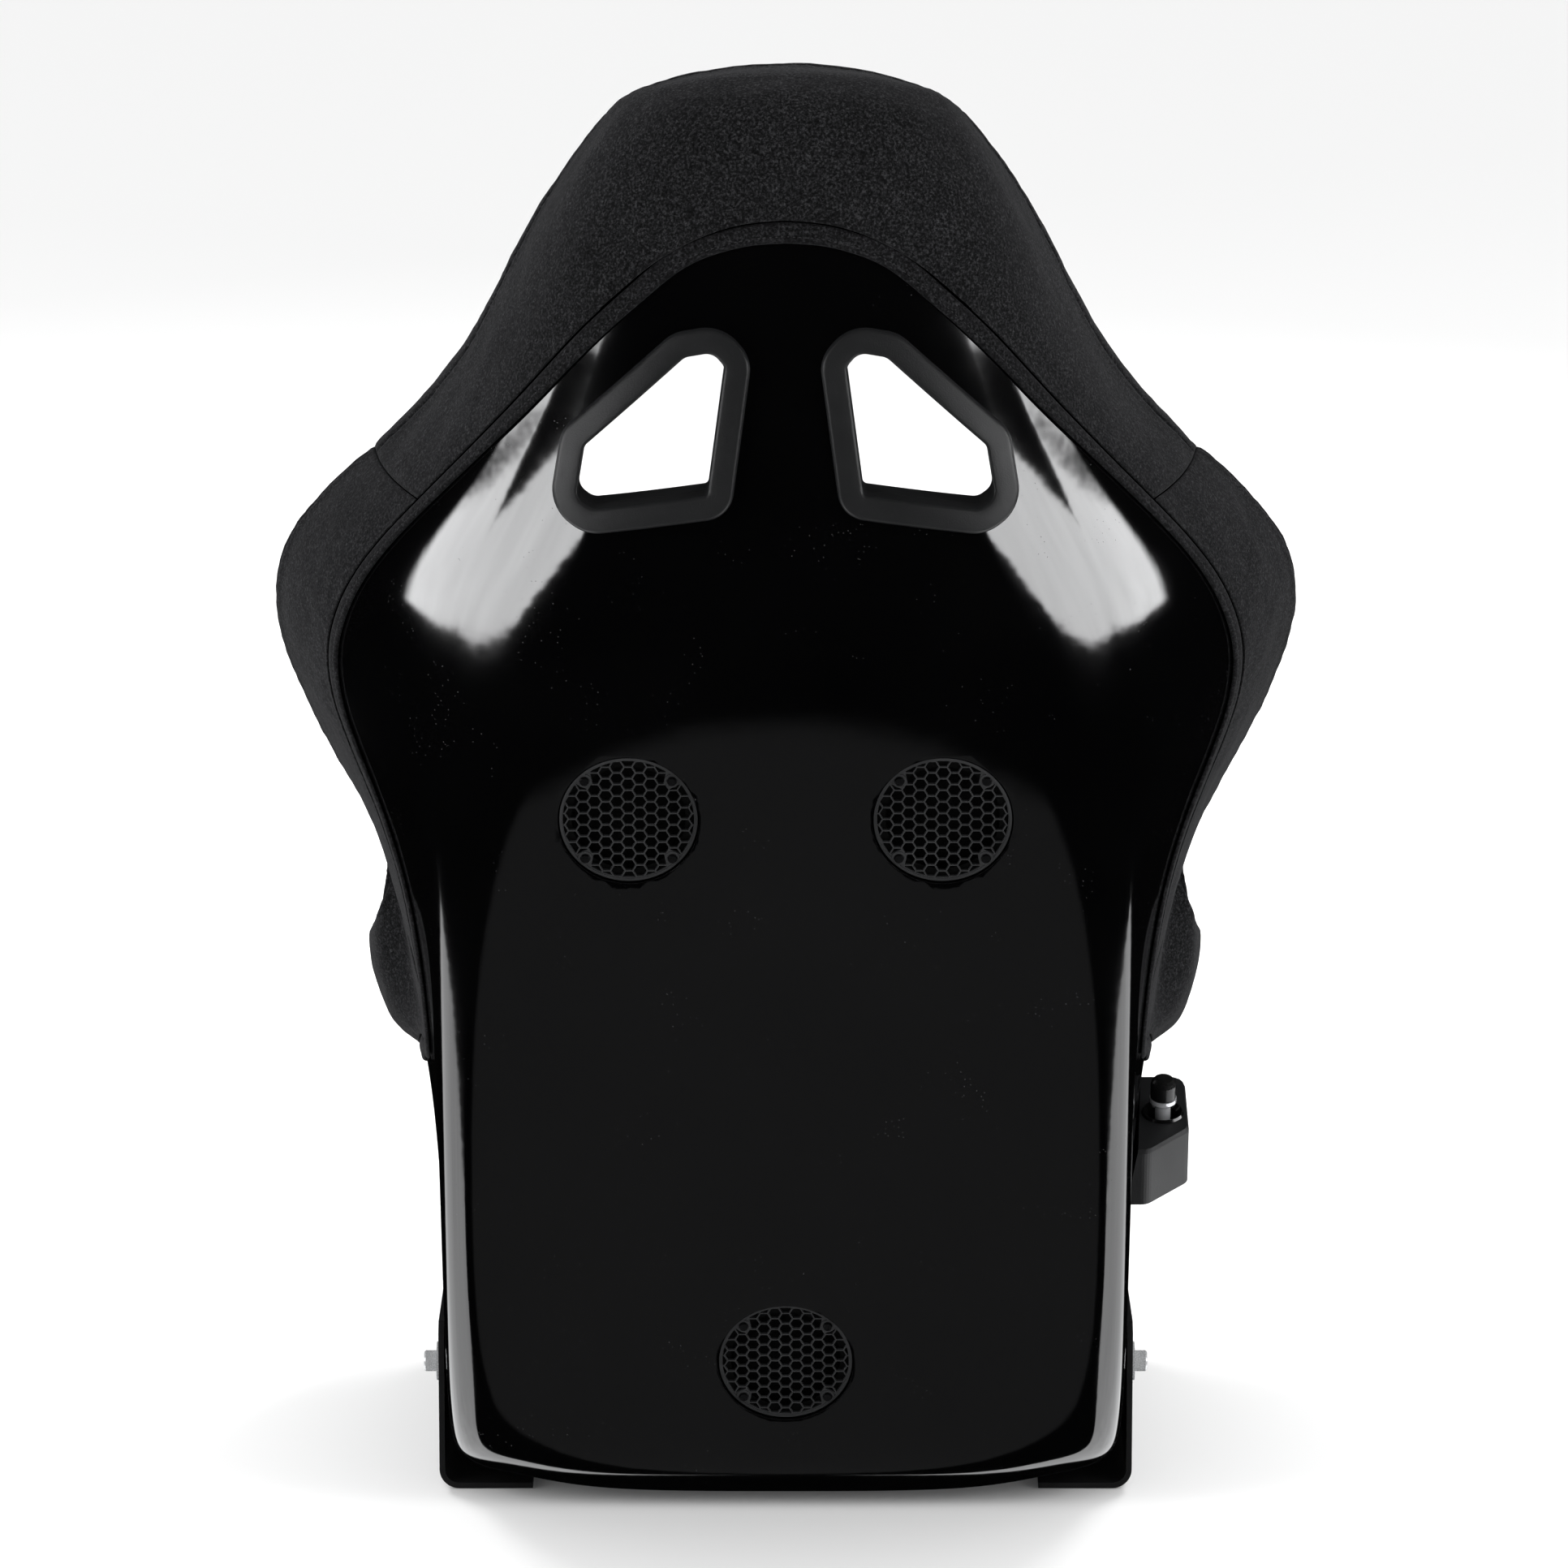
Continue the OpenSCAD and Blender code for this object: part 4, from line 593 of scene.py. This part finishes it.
def inflate(o, cap, seed):
    o.data.remesh_voxel_size = 0.0055; activate(o); bpy.ops.object.voxel_remesh()
    c0 = to_co(o); dep, nrm, idx = depth_of(c0); w = np.clip((dep-0.0075)/0.008, 0, 1)
    vg = o.vertex_groups.new(name="pin")
    for i, x in enumerate(w): vg.add([i], float(1-x), 'REPLACE')
    cl = o.modifiers.new("sim", 'CLOTH'); st = cl.settings; st.quality = 4; st.mass = 0.3; st.tension_stiffness = 8; st.compression_stiffness = 8; st.shear_stiffness = 5; st.bending_stiffness = 0.4
    st.use_pressure = True; st.uniform_pressure_force = 4.0; st.effector_weights.gravity = 0; st.vertex_group_mass = "pin"; st.pin_stiffness = 1.0
    cl.point_cache.frame_start = 1; cl.point_cache.frame_end = 20; cl.collision_settings.use_collision = False; cl.collision_settings.use_self_collision = False
    sc = bpy.context.scene
    for f in range(1, 21): sc.frame_set(f)
    dg = bpy.context.evaluated_depsgraph_get(); em = o.evaluated_get(dg).data; c1 = np.zeros(len(em.vertices)*3); em.vertices.foreach_get("co", c1); c1 = c1.reshape(-1, 3)
    o.modifiers.clear(); o.vertex_groups.clear(); sc.frame_set(1)
    d = c1-c0; l = np.linalg.norm(d, axis=1, keepdims=True); d = np.where(np.isfinite(d), d, 0)*np.minimum(1, cap/np.maximum(l, 1e-9)); set_co(o, c0+d*w[:, None])
    sm = o.modifiers.new("s", 'SMOOTH'); sm.factor = 0.5; sm.iterations = 4; sub = o.modifiers.new("d", 'SUBSURF'); sub.levels = 1; sub.render_levels = 1; apply_mods(o)
    return o
def line_uv(fn, n=220): t = np.linspace(0, 1, n); u, v = fn(t); return O(u, v, np.full(n, -SW-20.0)), u, v
SEAMS = {"seat_base_pad": [lambda t: (np.full_like(t, 2.55), 1.95+4.1*t), lambda t: (np.full_like(t, -2.55), 1.95+4.1*t), lambda t: (-2.55+5.1*t, np.full_like(t, 3.9))],
         "lumbar_pad": [lambda t: (np.full_like(t, 2.3), 6.6+2.3*t), lambda t: (np.full_like(t, -2.3), 6.6+2.3*t)],
         "back_pad": [lambda t: (np.full_like(t, 2.2), 9.2+2.3*t), lambda t: (np.full_like(t, -2.2), 9.2+2.3*t)],
         "shoulder_pad": [lambda t: (-4.3+8.6*t, 12.35+0*t)], "head_pad": [], "thigh_pad": []}
def on_surface(bvh, u, v, dmax=0.075):
    """points and normals where rays from the shell's inner side, shot back from the open side, meet the pad"""
    P, N = ev(u, v); P = to_m(P); Q = []; NN = []; ok = []
    for p, n in zip(P, N):
        h = bvh.ray_cast(Vector(p-n*dmax), Vector(n), dmax)
        if h[0] is None: ok.append(False); Q.append(p); NN.append(-n)
        else: ok.append(True); Q.append(np.array(h[0])); NN.append(np.array(h[1]))
    return np.array(Q), np.array(NN), np.array(ok)
def groove(o, lines, depth, width):
    c = to_co(o); kd_pts = np.concatenate(lines); kd = KDTree(len(kd_pts))
    for i, p in enumerate(kd_pts): kd.insert(p, i)
    kd.balance(); nr = np.zeros(len(c)*3); o.data.vertices.foreach_get("normal", nr); nr = nr.reshape(-1, 3); dd = np.array([kd.find(p)[2] for p in c])
    set_co(o, c-nr*(depth*np.exp(-(dd/width)**2)-0.25*depth*np.exp(-((dd-2.6*width)/(1.3*width))**2))[:, None])
def tube_along(name, P, r, closed, m=8):
    P = np.asarray(P); n = len(P); T = unit(np.roll(P, -1, 0)-np.roll(P, 1, 0)) if closed else unit(np.gradient(P, axis=0)); up = np.array([0.31, -0.83, 0.46]); V = []
    for i in range(n):
        a = unit(np.cross(T[i], up)); b = np.cross(T[i], a)
        if i and (a@pa) < 0: a, b = -a, -b
        pa = a; V += [P[i]+r*(a*math.cos(2*math.pi*k/m)+b*math.sin(2*math.pi*k/m)) for k in range(m)]
    F = grid_faces(n, m, 0, False, wrap=True, close=closed)
    if not closed: F += [tuple(range(m)), tuple(range((n-1)*m, n*m))[::-1]]
    return fix_normals(mesh_from(name, np.array(V), F))
def smooth_path(P, k=3, closed=True):
    for _ in range(k):
        Q = (np.roll(P, 1, 0)+2*P+np.roll(P, -1, 0))/4
        if not closed: Q[0], Q[-1] = P[0], P[-1]
        P = Q
    return P
AXQ = np.array([-237.5, -128, 212], float); CA, SA = math.cos(math.radians(-17.0)), math.sin(math.radians(-17.0))
def adj(P): P = np.asarray(P, float); return to_m(np.stack([AXQ[0]+P[:, 0], AXQ[1]+CA*P[:, 1]-SA*P[:, 2], AXQ[2]+SA*P[:, 1]+CA*P[:, 2]], -1))
def coil():
    """return spring: 3.4 turns of 0.9 mm wire, closed ends; the real spring shortens as the knob goes in, here it is
    built at one fixed length
    """
    t = np.linspace(0, 1, 200); k = np.clip((t*3.4-0.6)/2.2, 0, 1); a = t*3.4*2*math.pi; z = -35.25+10.4*k
    o = tube_along("adjuster_coil", adj(np.stack([3.95*np.cos(a), 3.95*np.sin(a), z], 1)), 0.00045, False, 10)
    paint(o, M["spring"]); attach(o, "seat"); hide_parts("adjuster_spring")
    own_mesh(o)
coil()
for nm, v0, v1, u0, u1, th, seed in PADS:
    o = pad(nm, v0, v1, u0, u1, th, seed); inflate(o, 0.006 if nm != "thigh_pad" else 0.005, seed)
    if nm == "shoulder_pad":
        for s in (-1, 1): boolean(o, prism(4.4, s, 120, 300))
    if nm in ("lumbar_pad", "back_pad"):
        for s in ((0,) if nm == "lumbar_pad" else (-1, 1)): boolean(o, xform(cyl("c", .051, .027, 72, -.0135), vent_matrix(s)))
    bm = bmesh.new(); bm.from_mesh(o.data); bvh = BVHTree.FromBMesh(bm); bm.free()
    lines = []; st = []
    for fn in SEAMS[nm]:
        t = np.linspace(0, 1, 200); u, v = fn(t); Q, NN, ok = on_surface(bvh, u, v)
        if ok.sum() > 20: lines.append(Q[ok]); st.append((u, v))
    # outline seam with piping
    a = np.linspace(0, 2*math.pi, 420, endpoint=False); ex = 0.42
    cxv = np.sign(np.cos(a))*np.abs(np.cos(a))**(0.30); cyv = np.sign(np.sin(a))*np.abs(np.sin(a))**(0.30)
    vv = (v0+v1)/2+(v1-v0)/2*(1-0.05-0.02/(v1-v0))*cyv; uu = hwf(vv, v0, v1, u0, u1)*0.962*cxv
    Q, NN, ok = on_surface(bvh, uu, vv)
    if ok.all(): lines.append(Q)
    if lines: groove(o, lines, 0.0022, 0.0030)
    c = to_co(o); nz = noise3(c*1000, 70, 2, seed % 9); n2 = noise3(c*1000, 24, 2, seed % 7); nr = np.zeros(len(c)*3); o.data.vertices.foreach_get("normal", nr); nr = nr.reshape(-1, 3); dep, nn_, ix = depth_of(c[::1])
    set_co(o, c+nr*((0.0006*nz+0.0003*n2)*np.clip((dep-0.009)/0.006, 0, 1))[:, None])
    bm = bmesh.new(); bm.from_mesh(o.data); bvh = BVHTree.FromBMesh(bm); bm.free(); shade(o, 60)
    paint(o, M["pad"])
    # pad faces inside the vent pockets get the near-black pocket material: painted shade for the shadowed pocket
    # behind each grille
    if nm in ("lumbar_pad", "back_pad"):
        o.data.materials.append(M["void"]); iv_ = [vent_matrix(s).inverted() for s in ((0,) if nm == "lumbar_pad" else (-1, 1))]
        for f in o.data.polygons:
            for q in iv_:
                c_ = q @ f.center
                if math.hypot(c_.x, c_.y) < .0514 and c_.z > -.0142: f.material_index = 1
    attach(o, "seat"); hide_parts(nm)
    if ok.all():
        Q2, NN2, ok2 = on_surface(bvh, uu, vv)
        if ok2.all():
            P = smooth_path(Q2, 4); p = tube_along("piping_"+nm, P+unit(NN2)*0.0004, 0.0017, True); paint(p, M["tape"]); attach(p, "seat")
    for k, (u, v) in enumerate(st):
        Q2, NN2, ok2 = on_surface(bvh, u, v); Q2 = Q2[ok2]; NN2 = NN2[ok2]
        if len(Q2) < 20: continue
        mm = Q2*1000-np.array([0, YS, 0]); T = unit(np.gradient(mm, axis=0)); sd_ = unit(np.cross(T, NN2)); stitches("stitches_%s_%d" % (nm, k), mm, NN2, sd_, (-3.0, 3.0), 4.2, 2.9, 0.35, 0.0)

# ---------------------------------------------------------------- camera, floor and light
TG = Vector((0.0, YS/1000, 0.451)); TH = math.radians(12.0); DD = 4.6
cam = bpy.data.objects.new("camera", bpy.data.cameras.new("camera")); bpy.context.scene.collection.objects.link(cam)
cam.location = TG+Vector((0, DD*math.cos(TH), DD*math.sin(TH))); cam.rotation_euler = (TG-cam.location).to_track_quat('-Z', 'Y').to_euler()
cam.data.sensor_width = 36; cam.data.lens = 2.03*DD*1000/1932*36; cam.data.shift_x = -2/1932; cam.data.clip_end = 100; bpy.context.scene.camera = cam
def world():
    """white to the camera and to diffuse light; glossy rays see two softboxes, two side strips and a grey sweep against black"""
    w = bpy.data.worlds.new("world"); bpy.context.scene.world = w; w.use_nodes = True; nt = w.node_tree; nt.nodes.clear()
    def mt(op, *a, clamp=False):
        n = nt.nodes.new("ShaderNodeMath"); n.operation = op; n.use_clamp = clamp
        for i, x in enumerate(a):
            if np.isscalar(x): n.inputs[i].default_value = x
            else: nt.links.new(x, n.inputs[i])
        return n.outputs[0]
    def ss(x, lo, hi):
        n = nt.nodes.new("ShaderNodeMapRange"); n.interpolation_type = 'SMOOTHSTEP'
        nt.links.new(x, n.inputs[0]); n.inputs[1].default_value = lo; n.inputs[2].default_value = hi; return n.outputs[0]
    inv_ = lambda x: mt('SUBTRACT', 1.0, x)
    tc = nt.nodes.new("ShaderNodeTexCoord"); sp = nt.nodes.new("ShaderNodeSeparateXYZ"); nt.links.new(tc.outputs["Generated"], sp.inputs[0])
    az = mt('MULTIPLY', mt('ARCTAN2', mt('ABSOLUTE', sp.outputs[0]), sp.outputs[1]), 57.29578)
    el = mt('MULTIPLY', mt('ARCSINE', sp.outputs[2]), 57.29578)
    lo = mt('ADD', mt('MULTIPLY', mt('DIVIDE', mt('SUBTRACT', az, 53.0), 29.0, clamp=True), 5.0), -3.5)
    cap = mt('ADD', 9.8, mt('MULTIPLY', mt('DIVIDE', mt('SUBTRACT', az, 86.0), 5.0, clamp=True), 2.9))
    hi = mt('MINIMUM', cap, mt('ADD', 0.5, mt('MULTIPLY', mt('SUBTRACT', az, 40.0), 0.34)))
    box = mt('MULTIPLY', mt('MULTIPLY', ss(mt('SUBTRACT', el, lo), -0.5, 0.5), inv_(ss(mt('SUBTRACT', el, hi), -0.5, 0.5))), mt('MULTIPLY', ss(az, 39.3, 40.5), inv_(ss(az, 110.0, 114.0))))
    bend = mt('ADD', mt('MAXIMUM', 0.0, mt('ADD', el, 46.0)), mt('MAXIMUM', 0.0, mt('SUBTRACT', -50.0, el)))
    edge = mt('SUBTRACT', az, mt('ADD', 33.0, mt('MULTIPLY', bend, 3.0)))
    strip = mt('MULTIPLY', mt('MULTIPLY', ss(edge, -0.8, 0.8), inv_(ss(el, -21.5, -20.0))), inv_(ss(az, 148.0, 152.0)))
    q = mt('MULTIPLY', mt('DIVIDE', az, 22.0), mt('DIVIDE', az, 22.0))
    grey = mt('MULTIPLY', inv_(ss(az, 18.5, 22.0)), inv_(ss(mt('SUBTRACT', el, mt('ADD', -35.0, mt('MULTIPLY', q, 5.0))), -2.0, 1.5)))
    mot = nt.nodes.new("ShaderNodeTexNoise"); mot.inputs["Scale"].default_value = 9.0; mot.inputs["Detail"].default_value = 3.0; nt.links.new(tc.outputs["Generated"], mot.inputs["Vector"])
    lit = mt('MULTIPLY', mt('ADD', mt('MULTIPLY', box, BOX), mt('MULTIPLY', strip, STRIP)), mt('ADD', 0.82, mt('MULTIPLY', mot.outputs["Fac"], 0.36)))
    tot = mt('ADD', mt('ADD', lit, mt('MULTIPLY', grey, GREY)), 0.0015)
    bg = nt.nodes.new("ShaderNodeBackground"); bg.inputs[0].default_value = (1, 1, 1, 1); bg.inputs[1].default_value = AMBIENT
    gl = nt.nodes.new("ShaderNodeBackground"); gl.inputs[0].default_value = (0.985, 0.99, 1, 1); nt.links.new(tot, gl.inputs[1])
    lp_ = nt.nodes.new("ShaderNodeLightPath"); mx = nt.nodes.new("ShaderNodeMixShader"); nt.links.new(lp_.outputs["Is Glossy Ray"], mx.inputs[0]); nt.links.new(bg.outputs[0], mx.inputs[1]); nt.links.new(gl.outputs[0], mx.inputs[2])
    out = nt.nodes.new("ShaderNodeOutputWorld"); nt.links.new(mx.outputs[0], out.inputs[0])
BOX, STRIP, GREY, AMBIENT = 6.6, 2.2, 0.090, 1.0
world()
bpy.context.scene.view_settings.view_transform = 'Standard'
def plane(name, x0, x1, y0, y1, z):
    o = mesh_from(name, [(x0, y0, z), (x1, y0, z), (x1, y1, z), (x0, y1, z)], [(0, 1, 2, 3)], False); return o
fl = plane("floor", -30, 30, -30, 30, -0.0005); m, nt, b = mat("floor_pale"); b.inputs["Base Color"].default_value = (0.93, 0.93, 0.93, 1); b.inputs["Roughness"].default_value = 0.9; b.inputs["Specular IOR Level"].default_value = 0.1; fl.data.materials.append(m); fl.visible_glossy = False
def area(name, loc, target, size, power, size_y=None):
    l = bpy.data.lights.new(name, 'AREA'); l.shape = 'RECTANGLE'; l.size = size; l.size_y = size_y or size; l.energy = power; o = bpy.data.objects.new(name, l); bpy.context.scene.collection.objects.link(o); o.location = loc; o.visible_glossy = False; o.rotation_euler = (Vector(target)-Vector(loc)).to_track_quat('-Z', 'Y').to_euler(); return o
k1 = area("softbox_left", (2.6, 1.6, 1.9), (0, 0.1, 0.5), 1.2, 30, 1.6); k2 = area("softbox_right", (-2.6, 1.6, 1.9), (0, 0.1, 0.5), 1.2, 30, 1.6)
for nm_, x_ in (("fill_front_left", 1.9), ("fill_front_right", -1.5)): area(nm_, (x_, -2.6, 2.3), (0, -0.05, 0.4), 1.0, 55, 1.2)
bpy.context.view_layer.update()
